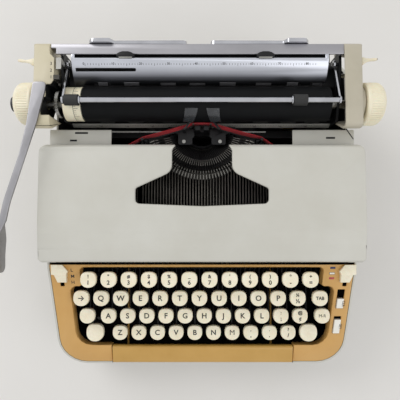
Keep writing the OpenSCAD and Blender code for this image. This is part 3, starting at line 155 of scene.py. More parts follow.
# finishes: patch and grain are sizes, depth is the relief of the grain and round is how far edges are softened,
# all in mm; rough is the range of the roughness, and stretch draws the grain out along an axis
finishes = {
    # stoved enamel on sheet steel: satin, slightly uneven like orange peel, which is drawn coarser than its 0.3 mm
    "stoved grey enamel": {
        "tones": ("#c5c3b9", "#cecdc5"), "patch": 70, "grain": 0.9, "depth": 0.012, "rough": (0.3, 0.44), "round": 0.8,
        "shader": {"IOR": 1.5, "Coat Weight": 0.15, "Coat Roughness": 0.25}},
    # ABS with a fine spark texture of about 0.15 mm, drawn at 0.35 mm: warm tan, dull
    "moulded tan ABS": {
        "tones": ("#cb9c56", "#d4a865"), "patch": 55, "grain": 0.35, "depth": 0.012, "rough": (0.36, 0.52),
        "round": 0.7, "shader": {"IOR": 1.53}},
    # the same ABS, darker and polished by thumbs
    "moulded tan ABS, space bar": {
        "tones": ("#bd9348", "#c89e55"), "patch": 40, "grain": 0.5, "depth": 0.006, "rough": (0.26, 0.38), "round": 0.8,
        "shader": {"IOR": 1.53}},
    # ABS polished by fingers: cream with a soft gloss, slightly deep
    "moulded cream ABS": {
        "tones": ("#ece2c6", "#f6efd9"), "patch": 9, "grain": 0.6, "depth": 0.004, "rough": (0.2, 0.34), "round": 0.35,
        "shader": {"IOR": 1.53, "Subsurface Weight": 0.04, "Subsurface Scale": 0.002}},
    # duller cream, yellowed in patches
    "moulded cream ABS, knobs": {
        "tones": ("#e8dfc2", "#f2ebd3"), "patch": 16, "grain": 0.5, "depth": 0.006, "rough": (0.28, 0.42), "round": 0.3,
        "shader": {"IOR": 1.53, "Subsurface Weight": 0.04, "Subsurface Scale": 0.002}},
    # darker cream with the dirt of hands
    "moulded cream ABS, end caps": {
        "tones": ("#c6bda0", "#d2c9b0"), "patch": 38, "grain": 0.5, "depth": 0.008, "rough": (0.34, 0.48), "round": 0.8,
        "shader": {"IOR": 1.53}},
    # painted shade: the left cap's cream made greyer and darker for the cap away from the window
    "moulded cream ABS, end cap in painted shade": {
        "tones": ("#b3ac99", "#beb7a5"), "patch": 38, "grain": 0.5, "depth": 0.008, "rough": (0.34, 0.48), "round": 0.8,
        "shader": {"IOR": 1.53}},
    # clean white of the small tabs
    "moulded white ABS": {
        "tones": ("#ece9df", "#f5f3ea"), "patch": 8, "grain": 0.5, "depth": 0.004, "rough": (0.26, 0.38), "round": 0.4,
        "shader": {"IOR": 1.53}},
    # black with a soft gloss
    "moulded black ABS": {
        "tones": ("#17171a", "#222226"), "patch": 10, "grain": 0.5, "depth": 0.006, "rough": (0.3, 0.46), "round": 0.35,
        "shader": {"IOR": 1.53}},
    # ground rubber of the platen: near black, dull, polished in bands along the lines of type
    "ground nitrile rubber": {
        "tones": ("#08090a", "#0e0f11"), "patch": 14, "grain": 0.5, "depth": 0.01, "rough": (0.5, 0.7), "round": 0.4,
        "stretch": (0.04, 1, 1), "shader": {"IOR": 1.52, "Specular IOR Level": 0.12}},
    # dull dark grey rubber with a coarse skin
    "moulded rubber": {
        "tones": ("#1b1b1b", "#262626"), "patch": 12, "grain": 0.6, "depth": 0.03, "rough": (0.6, 0.8), "round": 0.6,
        "shader": {"IOR": 1.52}},
    # painted shade: a soft black lining that drinks the light, laid where the inside of the shell is dark; fibres of
    # 0.02 mm are drawn as 0.8 mm tufts
    "black lining, painted shade": {
        "tones": ("#0b0b0c", "#161617"), "patch": 6, "grain": 0.8, "depth": 0.08, "rough": (0.85, 0.98), "round": 0.0,
        "shader": {"IOR": 1.45, "Specular IOR Level": 0.1, "Sheen Weight": 0.1}},
    # black japan on steel: glossy but dusty
    "black japanned steel": {
        "tones": ("#0c0c0e", "#18181a"), "patch": 16, "grain": 0.7, "depth": 0.01, "rough": (0.35, 0.6), "round": 0.3,
        "shader": {"IOR": 1.5, "Specular IOR Level": 0.3}},
    # cold rolled steel under oil and ribbon dust: dark with a metal sheen
    "oiled steel": {
        "tones": ("#3a3936", "#5d5b57"), "patch": 18, "grain": 0.5, "depth": 0.006, "rough": (0.3, 0.5), "round": 0.25,
        "stretch": (1, 0.1, 1), "shader": {"Metallic": 1.0}},
    # the same steel, paler on the backs of the levers: a painted highlight
    "oiled steel, levers, painted highlight": {
        "tones": ("#55524d", "#7b7771"), "patch": 18, "grain": 0.5, "depth": 0.006, "rough": (0.4, 0.6), "round": 0.25,
        "stretch": (1, 0.1, 1), "shader": {"Metallic": 1.0}},
    # nickelled or bare steel: light grey, clear reflections with a fine grain
    "bright steel": {
        "tones": ("#8d8c88", "#a9a8a4"), "patch": 15, "grain": 0.35, "depth": 0.004, "rough": (0.22, 0.38),
        "round": 0.25, "stretch": (0.1, 1, 1), "shader": {"Metallic": 1.0}},
    # hard chrome on a polished bar: a mirror with faint long rubbing marks
    "polished chrome": {
        "tones": ("#adaeb3", "#bdbec3"), "patch": 20, "grain": 0.3, "depth": 0.0015, "rough": (0.07, 0.16),
        "round": 0.4, "stretch": (0.05, 1, 1), "shader": {"Metallic": 1.0}},
    # satin chrome brushed along the lever: soft grey sheen
    "brushed chrome": {
        "tones": ("#98979a", "#a8a7ab"), "patch": 30, "grain": 0.3, "depth": 0.003, "rough": (0.3, 0.44), "round": 0.7,
        "stretch": (1, 0.05, 1), "shader": {"Metallic": 1.0}},
    # aluminium brushed along X, satin grey; lines of 0.1 mm are drawn at 0.3 mm
    "satin anodised aluminium": {
        "tones": ("#9c9b9f", "#a8a7ab"), "patch": 45, "grain": 0.3, "depth": 0.003, "rough": (0.34, 0.48), "round": 0.5,
        "stretch": (0.02, 1, 1), "shader": {"Metallic": 1.0}},
    # aluminium brushed finer: silvery and bright; lines of 0.1 mm are drawn at 0.25 mm
    "bright brushed aluminium, painted reflection": {
        "tones": ("#bcbec6", "#cacdd5"), "patch": 60, "grain": 0.25, "depth": 0.002, "rough": (0.26, 0.4), "round": 0.3,
        "stretch": (0.02, 1, 1), "shader": {"Metallic": 1.0}},
    # ground steel strip with engraved marks: pale and matt
    "satin steel, scale": {
        "tones": ("#a09f99", "#b8b7b0"), "patch": 24, "grain": 0.3, "depth": 0.003, "rough": (0.36, 0.5), "round": 0.2,
        "stretch": (0.05, 1, 1), "shader": {"Metallic": 0.25}},
    # painted highlight: backs of the type bars, bright in a thin line
    "steel backs, painted highlight": {
        "tones": ("#6f6e69", "#8f8d87"), "patch": 9, "grain": 0.3, "depth": 0.003, "rough": (0.36, 0.5), "round": 0.0,
        "shader": {"Metallic": 0.6}},
    # clear celluloid, scratched by cards: bluish, lets the platen show through
    "scratched celluloid": {
        "tones": ("#4c4f53", "#63666a"), "patch": 6, "grain": 0.4, "depth": 0.002, "rough": (0.12, 0.3), "round": 0.2,
        "shader": {"IOR": 1.49, "Transmission Weight": 0.6}},
    # brass under clear lacquer: warm yellow metal
    "lacquered brass": {
        "tones": ("#b08d3f", "#c7a552"), "patch": 12, "grain": 0.3, "depth": 0.003, "rough": (0.18, 0.34), "round": 0.3,
        "shader": {"Metallic": 1.0}},
}
# pad printing ink: flat and dull, with thin spots
inkLook = {"patch": 3, "grain": 0.25, "depth": 0.001, "rough": (0.4, 0.6), "round": 0.0, "shader": {"IOR": 1.5}}
inkTones = {"black": ("#141414", "#262522"), "white": ("#e6e3d8", "#f2efe6"), "blue": ("#20264a", "#2c3360"),
            "red": ("#a33a3f", "#bb5152")}
for ink, tones in inkTones.items():
    finishes[ink + " printing ink"] = dict(inkLook, tones=tones)
finishMade = {}
# most of a noise's values lie between these two
noiseSpread = {"From Min": 0.3, "From Max": 0.7}


def startFinish(name, look):
    material = bpy.data.materials.new(name)
    material.use_nodes = True
    tree = material.node_tree
    shader = tree.nodes["Principled BSDF"]
    for socket, value in look["shader"].items():
        shader.inputs[socket].default_value = value
    place = addNode(tree, "TexCoord").outputs["Object"]
    fineScale = [1000 * s / look["grain"] for s in look.get("stretch", (1, 1, 1))]
    slow = addNode(tree, "Mapping", {"Vector": place, "Scale": [1000 / look["patch"]] * 3}).outputs[0]
    fine = addNode(tree, "Mapping", {"Vector": place, "Scale": fineScale}).outputs[0]
    patches = addNode(tree, "TexNoise", {"Vector": slow, "Scale": 1.0, "Detail": 4.0, "Roughness": 0.6}).outputs["Fac"]
    grain = addNode(tree, "TexNoise", {"Vector": fine, "Scale": 1.0, "Detail": 2.0}).outputs["Fac"]
    blend = addNode(tree, "MapRange", {"Value": patches, **noiseSpread}).outputs[0]
    (dark, pale), (low, high) = look["tones"], look["rough"]
    tone = addNode(tree, "Mix", {0: blend, 6: dark, 7: pale}, data_type="RGBA").outputs[2]
    wear = addNode(tree, "Mix", {0: 0.5, 2: patches, 3: grain}, data_type="FLOAT").outputs[0]
    rough = addNode(tree, "MapRange", {"Value": wear, **noiseSpread, "To Min": low, "To Max": high}).outputs[0]
    bump = addNode(tree, "Bump", {"Height": grain, "Strength": 1.0, "Distance": look["depth"] * mm})
    if look["round"]:
        edge = addNode(tree, "Bevel", {"Radius": look["round"] * mm}, samples=4)
        tree.links.new(edge.outputs[0], bump.inputs["Normal"])
    tree.links.new(tone, shader.inputs["Base Color"])
    tree.links.new(rough, shader.inputs["Roughness"])
    tree.links.new(bump.outputs[0], shader.inputs["Normal"])
    return material, tree, shader, place, tone


def finish(name):
    if name not in finishMade:
        finishMade[name] = startFinish(name, finishes[name])[0]
    return finishMade[name]


# type bars: oiled and dark, a little paler in rings round the printing point that are painted highlights, and darkest
# between 39.6 and 42.6 mm
barSteel = {"centre": (0, 88.5, 0), "share": 0.75, "bands": (
    (24, "#111112"), (28, "#1c1b1a"), (32, "#232221"), (38, "#1c1b1a"), (39.6, "#0e0e0f"), (42.6, "#0e0e0f"),
    (44, "#201f1e"), (53, "#262524"), (57, "#161515"))}


def makeBarSteel():
    name = "oiled steel, type bars, painted highlight rings"
    material, tree, shader, place, tone = startFinish(name, dict(finishes["oiled steel"], stretch=(1, 1, 1)))
    centred = addNode(tree, "Mapping", {"Vector": place, "Location": -metres(*barSteel["centre"])}).outputs[0]
    parts = addNode(tree, "SeparateXYZ", {"Vector": centred}).outputs
    flat = addNode(tree, "CombineXYZ", {"X": parts["X"], "Y": parts["Y"]}).outputs[0]
    radius = addNode(tree, "VectorMath", {0: flat}, operation="LENGTH").outputs["Value"]
    first, last = barSteel["bands"][0][0], barSteel["bands"][-1][0]
    along = addNode(tree, "MapRange", {"Value": radius, "From Min": first * mm, "From Max": last * mm}).outputs[0]
    ramp = addNode(tree, "ValToRGB", {"Fac": along})
    steps = ramp.color_ramp.elements
    while len(steps) < len(barSteel["bands"]):
        steps.new(0.5)
    for step, (distance, colour) in zip(steps, barSteel["bands"]):
        step.position = (distance - first) / (last - first)
        step.color = linear(colour)
    mixed = addNode(tree, "Mix", {0: barSteel["share"], 6: tone, 7: ramp.outputs[0]}, data_type="RGBA").outputs[2]
    tree.links.new(mixed, shader.inputs["Base Color"])
    finishMade[name] = material


# inked cotton ribbon: plain weave of 0.25 mm threads, drawn at 0.5 mm, red above and black below
ribbonCloth = {
    "thread": 0.5, "relief": 0.06, "strength": 0.6, "split": 94.0, "black": ("#141012", "#241a1c"),
    "look": {"tones": ("#a0101c", "#c21a28"), "patch": 9, "grain": 0.3, "depth": 0.01, "rough": (0.6, 0.85),
             "round": 0.0, "shader": {"IOR": 1.45, "Sheen Weight": 0.08, "Sheen Roughness": 0.5}}}


def makeRibbonCloth():
    name = "inked cotton ribbon"
    material, tree, shader, place, tone = startFinish(name, ribbonCloth["look"])
    parts = addNode(tree, "SeparateXYZ", {"Vector": place}).outputs
    waves = fullTurn / (ribbonCloth["thread"] * mm)
    threads = []
    for axis in ("X", "Z"):
        turned = addNode(tree, "Math", {0: parts[axis], 1: waves}, operation="MULTIPLY").outputs[0]
        threads.append(addNode(tree, "Math", {0: turned}, operation="SINE").outputs[0])
    weave = addNode(tree, "Math", dict(enumerate(threads)), operation="MULTIPLY").outputs[0]
    relief = {"Height": weave, "Strength": ribbonCloth["strength"], "Distance": ribbonCloth["relief"] * mm}
    tree.links.new(addNode(tree, "Bump", relief).outputs[0], shader.inputs["Normal"])
    half = addNode(tree, "Math", {0: parts["Z"], 1: ribbonCloth["split"] * mm}, operation="LESS_THAN").outputs[0]
    low, high = ribbonCloth["black"]
    dark = addNode(tree, "Mix", {0: weave, 6: low, 7: high}, data_type="RGBA").outputs[2]
    both = addNode(tree, "Mix", {0: half, 6: tone, 7: dark}, data_type="RGBA").outputs[2]
    tree.links.new(both, shader.inputs["Base Color"])
    finishMade[name] = material


# paper table: bright above and darker towards the platen, a painted reflection of the dark platen; heights in mm
tableReflection = {"tones": ("#2f3032", "#56575c"), "low": 110.0, "dull": 116.2, "bright": 121.6}


def makeTableMetal():
    name = "bright brushed aluminium, painted reflection"
    material, tree, shader, place, tone = startFinish(name, finishes[name])
    height = addNode(tree, "SeparateXYZ", {"Vector": place}).outputs["Z"]
    low, dull, bright = (tableReflection[key] * mm for key in ("low", "dull", "bright"))
    lowShare = addNode(tree, "MapRange", {"Value": height, "From Min": low, "From Max": dull}).outputs[0]
    highShare = addNode(tree, "MapRange", {"Value": height, "From Min": dull, "From Max": bright}).outputs[0]
    # painted reflection: inked is the darkest tone at the table's foot, reflectedDim the tone above it
    inked, reflectedDim = tableReflection["tones"]
    foot = addNode(tree, "Mix", {0: lowShare, 6: inked, 7: reflectedDim}, data_type="RGBA").outputs[2]
    both = addNode(tree, "Mix", {0: highShare, 6: foot, 7: tone}, data_type="RGBA").outputs[2]
    tree.links.new(both, shader.inputs["Base Color"])
    finishMade[name] = material


makeBarSteel()
makeRibbonCloth()
makeTableMetal()

# finish of each CAD node
finishNodes = {
    "stoved grey enamel": ("base_shell", "top_cover"),
    "moulded tan ABS": ("keyboard_surround",),
    "moulded tan ABS, space bar": ("space_bar",),
    "moulded cream ABS": (
        "key_h", "keys_row_1", "keys_row_2", "keys_row_3", "keys_row_4", "shift_keys", "shift_lock_key",
        "backspace_key", "tab_key", "margin_release_key", "touch_lever", "ribbon_selector", "carriage_release"),
    "moulded cream ABS, knobs": ("platen_collar", "knob_left", "knob_right"),
    "moulded cream ABS, end caps": ("end_cap_left",),
    "moulded cream ABS, end cap in painted shade": ("end_cap_right",),
    "moulded white ABS": ("tab_clear_slider", "tab_set_slider"),
    "moulded black ABS": ("clutch_button",),
    "ground nitrile rubber": ("platen_roller",),
    "moulded rubber": ("rubber_feet", "bail_rollers", "feed_roller_front", "feed_roller_rear"),
    "black japanned steel": (
        "chassis", "type_guide", "carriage_frame", "margin_stop_left", "margin_stop_right", "ribbon_spool_left",
        "ribbon_spool_right", "type_segment"),
    "oiled steel": (
        "carriage_rails", "fulcrum_rod", "paper_deflector", "tab_rack", "line_space_selector", "ribbon_vibrator"),
    "bright steel": ("frame_screws", "platen_shaft", "paper_release_lever", "mainspring_drum"),
    "polished chrome": ("paper_bail", "paper_support_left", "paper_support_right"),
    "brushed chrome": ("return_lever",),
    "satin anodised aluminium": ("rear_rail",),
    "bright brushed aluminium, painted reflection": ("paper_table",),
    "satin steel, scale": ("line_scale",),
    "lacquered brass": ("margin_bell", "escapement_wheel"),
    "oiled steel, type bars, painted highlight rings": ("typebars", "typebar_h"),
    "inked cotton ribbon": ("ink_ribbon",),
}
nodeFinish = {node: name for name, nodes in finishNodes.items() for node in nodes}
for node, name in nodeFinish.items():
    data = frame["nodes"][node].data
    data.materials.clear()
    data.materials.append(finish(name))
print("finishes made")


# a piece takes its body from the node that it belongs to, and may stand for that node
def finishPiece(name, mesh, materials, node, replaces=False, sharp=32, smooth=True, rides=True):
    data = bpy.data.meshes.new(name)
    mesh.to_mesh(data)
    mesh.free()
    for material in materials:
        data.materials.append(finish(material))
    if smooth:
        data.shade_smooth()
        data.set_sharp_from_angle(angle=math.radians(sharp))
    piece = addObject(name, data)
    if rides:
        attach(piece, bodyOf[node])
    if replaces:
        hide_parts(node)
    return piece


def mergedCopy(node):
    mesh = bmesh.new()
    mesh.from_mesh(frame["nodes"][node].data)
    for face in mesh.faces:
        face.material_index = 0
    bmesh.ops.remove_doubles(mesh, verts=mesh.verts, dist=0.002 * mm)
    return mesh


def stamp(mesh, template, matrix, material=None):
    oldVerts, oldFaces = set(mesh.verts), set(mesh.faces)
    mesh.from_mesh(template)
    bmesh.ops.transform(mesh, matrix=matrix, verts=[v for v in mesh.verts if v not in oldVerts])
    if material is not None:
        for face in mesh.faces:
            if face not in oldFaces:
                face.material_index = material


def cutAt(mesh, place, normal, clear=False):
    geometry = mesh.verts[:] + mesh.edges[:] + mesh.faces[:]
    bmesh.ops.bisect_plane(mesh, geom=geometry, dist=1e-7, plane_co=[c * mm for c in place], plane_no=normal,
                           clear_outer=clear)
    if clear:
        bmesh.ops.holes_fill(mesh, edges=[e for e in mesh.edges if e.is_boundary], sides=8)


def flatten(mesh):
    bmesh.ops.dissolve_limit(mesh, angle_limit=math.radians(0.5), verts=mesh.verts, edges=mesh.edges)


def roundEdges(mesh, edges, width, segments):
    bmesh.ops.bevel(mesh, geom=edges, offset=width * mm, offset_type="OFFSET", segments=segments, profile=0.5,
                    affect="EDGES", clamp_overlap=False, material=-1)


# shape changes the copy first; pick says which faces, by centre in mm and normal, take the finish in more
def softened(node, name, width, least, angle=40, segments=2, more=(), pick=None, shape=None):
    mesh = mergedCopy(node)
    if shape:
        shape(mesh)
    flatten(mesh)
    edges = [e for e in mesh.edges if len(e.link_faces) == 2
             and e.calc_face_angle(0) > math.radians(angle) and e.calc_length() > least * mm]
    roundEdges(mesh, edges, width, segments)
    if pick:
        for face in mesh.faces:
            face.normal_update()
            face.material_index = int(pick(face.calc_center_median() / mm, face.normal))
    return finishPiece(name, mesh, [nodeFinish[node], *more], node, replaces=True)


# profile holds pairs of X and radius; the shape is turned round the X axis
def turnedShape(profile, steps):
    mesh = bmesh.new()
    points = [mesh.verts.new((x * mm, 0, r * mm)) for x, r in profile]
    lines = [mesh.edges.new(pair) for pair in zip(points, points[1:])]
    bmesh.ops.spin(mesh, geom=points + lines, cent=(0, 0, 0), axis=(1, 0, 0), angle=fullTurn, steps=steps,
                   use_merge=True)
    bmesh.ops.remove_doubles(mesh, verts=mesh.verts, dist=0.001 * mm)
    bmesh.ops.recalc_face_normals(mesh, faces=mesh.faces)
    return mesh


def asSheet(mesh, thick):
    bmesh.ops.recalc_face_normals(mesh, faces=mesh.faces)
    bmesh.ops.solidify(mesh, geom=mesh.faces[:], thickness=thick * mm)


def asTemplate(mesh):
    data = bpy.data.meshes.new("template")
    mesh.to_mesh(data)
    mesh.free()
    return data


# solid letters in Blender's own font; capShare is a capital's height over the font's size
font = {"capShare": 0.72, "curveSteps": 3}


def letters(words, height, thick, offset):
    curve = bpy.data.curves.new("letters", "FONT")
    curve.body = words
    curve.size = height / font["capShare"] * mm
    curve.align_x = "CENTER"
    curve.align_y = "CENTER"
    curve.extrude = thick * mm
    curve.offset = offset * mm
    curve.resolution_u = font["curveSteps"]
    holder = addObject("letters", curve)
    bpy.context.view_layer.update()
    data = bpy.data.meshes.new_from_object(holder)
    bpy.data.objects.remove(holder)
    bpy.data.curves.remove(curve)
    return data


# keys: y and top belong to the rear row, step and rise lead to the next row
keyRows = {
    "pitch": 19.05, "starts": (-107.2, -97.7, -92.9, -83.4), "y": -60.1, "step": 19.4, "top": 100.8, "rise": 11.6,
    "legends": (
        (("!", "1"), ('"', "2"), ("#", "3"), ("$", "4"), ("%", "5"), ("_", "6"), ("&", "7"), ("'", "8"), ("(", "9"),
         (")", "0"), ("*", "-"), ("+", "=")),
        tuple("QWERTYUIOP") + (("¼", "½"),),
        tuple("ASDFGHJKL") + ((":", ";"), ("@", "¢")),
        tuple("ZXCVBNM") + ((",", ","), (".", "."), ("?", "/"))),
    "single": (2, 5, "key_h")}  # row and place of the key that moves alone, and its node
specialKeys = (  # node, places as x and row, width, legends
    ("shift_keys", ((-108.9, 3), (108.7, 3)), 18.0, (None, None)),
    ("shift_lock_key", ((-113.9, 2),), 15.3, (None,)),
    ("backspace_key", ((-117.0, 1),), 15.3, ("→",)),
    ("tab_key", ((114.3, 1),), 15.3, ("TAB",)),
    ("margin_release_key", ((119.6, 2),), 15.3, ("M-R",)),
)
# cap: a rounded square that is rounder in front; leverSplit is where the levers' backs turn bright with a painted
# highlight
cap = {"width": 15.3, "shorter": 0.3, "wide": 17.0, "side": 4.0, "points": 44, "squareRear": 2.75, "squareFront": 2.12,
       # rings of the key top: share of the outline, height under the top face
       "rings": ((1.0, -4.05), (0.995, -2.6), (0.985, -1.2), (0.965, -0.55), (0.93, -0.14), (0.885, 0.0),
                 (0.845, -0.08), (0.72, -0.28), (0.5, -0.46), (0.25, -0.55)),
       "dishDepth": 0.56, "dishReach": 0.88, "leverSplit": -44.0, "cutUnder": 0.02}
# legends: height of the letters and how far behind the middle of the cap
legendSizes = {"upper": (3.3, 3.1), "lower": (3.9, -2.6), "word": (3.1, 0.0), "letter": (5.2, 0.0)}
legendPrint = {"thick": 0.05, "bold": 0.13, "lift": 0.03}


def camelName(node):
    first, *rest = node.split("_")
    return first + "".join(word.capitalize() for word in rest)


def capTemplate(width, depth):
    mesh = bmesh.new()
    ring = bmesh.ops.create_circle(mesh, cap_ends=True, segments=cap["points"], radius=1)["verts"]
    for v in ring:
        square = cap["squareRear"] if v.co.y > 0 else cap["squareFront"]
        x, y = v.co.x, v.co.y
        v.co.x = math.copysign(abs(x) ** (2 / square), x) * width / 2 * mm
        v.co.y = math.copysign(abs(y) ** (2 / square), y) * depth / 2 * mm
        v.co.z = cap["rings"][0][1] * mm
    bmesh.ops.reverse_faces(mesh, faces=mesh.faces)
    edges = [e for e in mesh.edges if e.is_boundary]
    share, height = cap["rings"][0]
    for nextShare, nextHeight in cap["rings"][1:]:
        new = bmesh.ops.extrude_edge_only(mesh, edges=edges)["geom"]
        verts = [g for g in new if isinstance(g, bmesh.types.BMVert)]
        edges = [g for g in new if isinstance(g, bmesh.types.BMEdge)]
        bmesh.ops.scale(mesh, vec=(nextShare / share, nextShare / share, 1), verts=verts)
        bmesh.ops.translate(mesh, vec=(0, 0, (nextHeight - height) * mm), verts=verts)
        share, height = nextShare, nextHeight
    top = bmesh.ops.contextual_create(mesh, geom=edges)["faces"]
    bmesh.ops.poke(mesh, faces=top)
    bmesh.ops.recalc_face_normals(mesh, faces=mesh.faces)
    return asTemplate(mesh)


def dishHeight(x, y, width):
    reach = min(1.0, math.hypot(x, y) / (width / 2))
    return cap["dishDepth"] * (min(1.0, (reach / cap["dishReach"]) ** 2) - 1)


def keyPlace(x, row):
    return x, keyRows["y"] - row * keyRows["step"], keyRows["top"] - row * keyRows["rise"]


def printLegend(mesh, legend, place, width):
    if isinstance(legend, tuple):
        kinds = zip(legend, ("upper", "lower"))
    else:
        kinds = ((legend, "word" if len(legend) > 1 else "letter"),)
    for words, kind in kinds:
        height, back = legendSizes[kind]
        # a bold M would close up
        bold = 0.0 if "M" in words else legendPrint["bold"]
        template = letters(words, height, legendPrint["thick"], bold)
        for v in template.vertices:
            v.co.z += dishHeight(v.co.x / mm, v.co.y / mm + back, width) * mm
        stamp(mesh, template, Matrix.Translation(metres(place[0], place[1] + back, place[2] + legendPrint["lift"])))
        bpy.data.meshes.remove(template)


def dressKeys(node, places, width, legends):
    mesh = mergedCopy(node)
    capUnder = min(place[2] for place in places) - cap["side"]
    cutAt(mesh, (0, 0, capUnder - cap["cutUnder"]), (0, 0, 1), clear=True)
    cutAt(mesh, (0, cap["leverSplit"], 0), (0, 1, 0))
    mesh.normal_update()
    for face in mesh.faces:
        # the levers' top faces behind leverSplit take the paler steel, a painted highlight; their other faces are black
        face.material_index = 2 if face.normal.z > 0.9 and face.calc_center_median().y > cap["leverSplit"] * mm else 1
    template = capTemplate(width, width - cap["shorter"] if width < cap["wide"] else width)
    for place in places:
        stamp(mesh, template, Matrix.Translation(metres(*place)), 0)
    bpy.data.meshes.remove(template)
    finishPiece(camelName(node), mesh, ["moulded cream ABS", "black japanned steel", "oiled steel, levers, painted highlight"], node,
                replaces=True, sharp=40)
    marks = bmesh.new()
    for legend, place in zip(legends, places):
        if legend:
            printLegend(marks, legend, place, width)
    if marks.verts:
        finishPiece(camelName(node) + "Legends", marks, ["black printing ink"], node, smooth=False)
    else:
        marks.free()


singleRow, singlePlace, singleNode = keyRows["single"]
for row, legends in enumerate(keyRows["legends"]):
    places = [keyPlace(keyRows["starts"][row] + i * keyRows["pitch"], row) for i in range(len(legends))]
    rest = [i for i in range(len(legends)) if (row, i) != (singleRow, singlePlace)]
    dressKeys(f"keys_row_{row + 1}", [places[i] for i in rest], cap["width"], [legends[i] for i in rest])
    if row == singleRow:
        dressKeys(singleNode, [places[singlePlace]], cap["width"], [legends[singlePlace]])
for node, places, width, legends in specialKeys:
    dressKeys(node, [keyPlace(x, row) for x, row in places], width, legends)
print("keys made")

# softened sheet metal and mouldings
softEdges = (  # node, piece, width of the rounded edge, least length of an edge that is rounded
    ("keyboard_surround", "keyFrame", 0.7, 1.5), ("end_cap_right", "rightCap", 0.9, 1.0),
    ("space_bar", "spaceBar", 0.7, 2.0), ("rear_rail", "rearRail", 0.5, 2.0), ("return_lever", "returnLever", 0.6, 1.0),
    ("paper_table", "paperTable", 0.2, 1.0), ("line_scale", "lineScale", 0.2, 1.0),
)
for node, name, width, least in softEdges:
    softened(node, name, width, least)

# cover: it bends softly within reach of y, under which it falls, and its bell shaped opening has a rolled rim
cover = {"y": -19.0, "top": 112.0, "reach": 20.0, "fall": 4.5 / 24, "steps": 10, "wall": 0.9, "rim": 1.7, "rimSteps": 4,
         "rimHalf": 80.0, "rimFront": 5.0, "rimDrop": 0.05, "rimAngle": 1.0, "rear": 66.9}


def rollCover(mesh):
    start = cover["y"] + cover["reach"]
    for i in range(cover["steps"] + 1):
        cutAt(mesh, (0, start - i * 2 * cover["reach"] / cover["steps"], 0), (0, 1, 0))
    for v in mesh.verts:
        y, z = v.co.y / mm, v.co.z / mm
        flat = cover["top"] - max(0.0, cover["y"] - y) * cover["fall"]
        if abs(z - flat) < cover["wall"] and abs(y - cover["y"]) < cover["reach"]:
            v.co.z = (cover["top"] - cover["fall"] * (start - y) ** 2 / (4 * cover["reach"])) * mm
    flatten(mesh)
    rim = []
    for edge in mesh.edges:
        ends = [v.co / mm for v in edge.verts]
        isSharp = len(edge.link_faces) == 2 and edge.calc_face_angle(0) > cover["rimAngle"]
        isTop = all(v.z > cover["top"] - cover["rimDrop"] for v in ends)
        isNear = all(abs(v.x) < cover["rimHalf"] and v.y > cover["rimFront"] for v in ends)
        if isSharp and isTop and isNear and not all(v.y > cover["rear"] for v in ends):
            rim.append(edge)
    roundEdges(mesh, rim, cover["rim"], cover["rimSteps"])


# shell: its floor and the inner sides of its walls take a black lining, painted shade for the dark inside of the shell
shell = {"floor": 12.0, "rim": 94.0, "middle": 3.0, "inward": -60.0}


def isLined(c, n):
    isWall = n.x * c.x < shell["inward"] or n.y * (c.y - shell["middle"]) < shell["inward"]
    return (n.z > 0.5 and c.z < shell["floor"]) or (c.z < shell["rim"] and isWall)


# clear fingers of the type guide lie close round the platen, whose axis is given in Y and Z
platenAxis = (106.0, 105.0)
finger = {"within": 17.3, "front": 88.8, "low": 102.0}


def isFinger(c, n):
    near = math.hypot(c.y - platenAxis[0], c.z - platenAxis[1]) < finger["within"]
    return near and c.y > finger["front"] and c.z > finger["low"]


# painted shade: the left cap's wall beside the return lever's stud is coloured black for the dark of the mechanism
shadedWall = {"front": 88.5, "rear": 121.5, "left": -149.0, "top": 124.0}


def isDarkWall(c, n):
    isInside = shadedWall["front"] < c.y < shadedWall["rear"] and c.x > shadedWall["left"] and c.z < shadedWall["top"]
    return isInside and (n.x > 0.3 or n.y < -0.5)


softened("top_cover", "cover", 1.0, 2.0, shape=rollCover)
softened("base_shell", "lowerShell", 0.7, 2.0, more=("black lining, painted shade",), pick=isLined)
softened("type_guide", "typeGuide", 0.2, 1.0, more=("scratched celluloid",), pick=isFinger)
# the black of the left cap's inner wall is painted shade
softened("end_cap_left", "leftCap", 0.9, 1.0, more=("black japanned steel",), pick=isDarkWall)

# finger levers of the carriage release, from above: wide at the cap, then slim with a round end
horns = {"low": 109.6, "thick": 3.2, "cuts": ((-158.1, -1), (151.8, 1)), "outlines": (
    ((-156.0, 140.8), (-159.5, 141.2), (-162.5, 143.4), (-166.0, 144.4), (-170.5, 144.6), (-173.0, 145.2),
     (-173.6, 146.3), (-172.6, 147.4), (-169.5, 147.2), (-165.5, 146.6), (-162.0, 147.0), (-159.5, 147.8),
     (-156.0, 148.0)),
    ((150.0, 142.0), (152.0, 142.4), (154.5, 144.4), (158.0, 145.5), (162.5, 145.7), (164.9, 146.3), (165.4, 147.4),
     (164.4, 148.5), (161.5, 148.3), (158.0, 147.9), (154.5, 148.2), (152.0, 149.0), (150.0, 149.2)))}
# paper supports grow to the rear from their front face; the front of each margin stop is bright
support = {"front": 156.8, "growth": 2.1}
stopFront = 143.55


def cutHorns(mesh):
    for x, out in horns["cuts"]:
        cutAt(mesh, (x, 0, 0), (out, 0, 0), clear=True)
    for outline in horns["outlines"]:
        face = mesh.faces.new([mesh.verts.new(metres(x, y, horns["low"])) for x, y in outline])
        grown = bmesh.ops.extrude_face_region(mesh, geom=[face])["geom"]
        verts = [g for g in grown if isinstance(g, bmesh.types.BMVert)]
        bmesh.ops.translate(mesh, vec=(0, 0, horns["thick"] * mm), verts=verts)
    bmesh.ops.recalc_face_normals(mesh, faces=mesh.faces)


def thicken(mesh):
    front = support["front"] * mm
    for v in mesh.verts:
        v.co.y = front + (v.co.y - front) * support["growth"]


def isStopTab(c, n):
    return c.y < stopFront


softened("carriage_release", "releaseLevers", 1.1, 0.8, angle=50, segments=3, shape=cutHorns)
for side in ("left", "right"):
    softened("paper_support_" + side, side + "Support", 0.7, 1.0, shape=thicken)
    softened("margin_stop_" + side, side + "Stop", 0.4, 1.0, more=("bright steel",), pick=isStopTab)
print("edges softened")

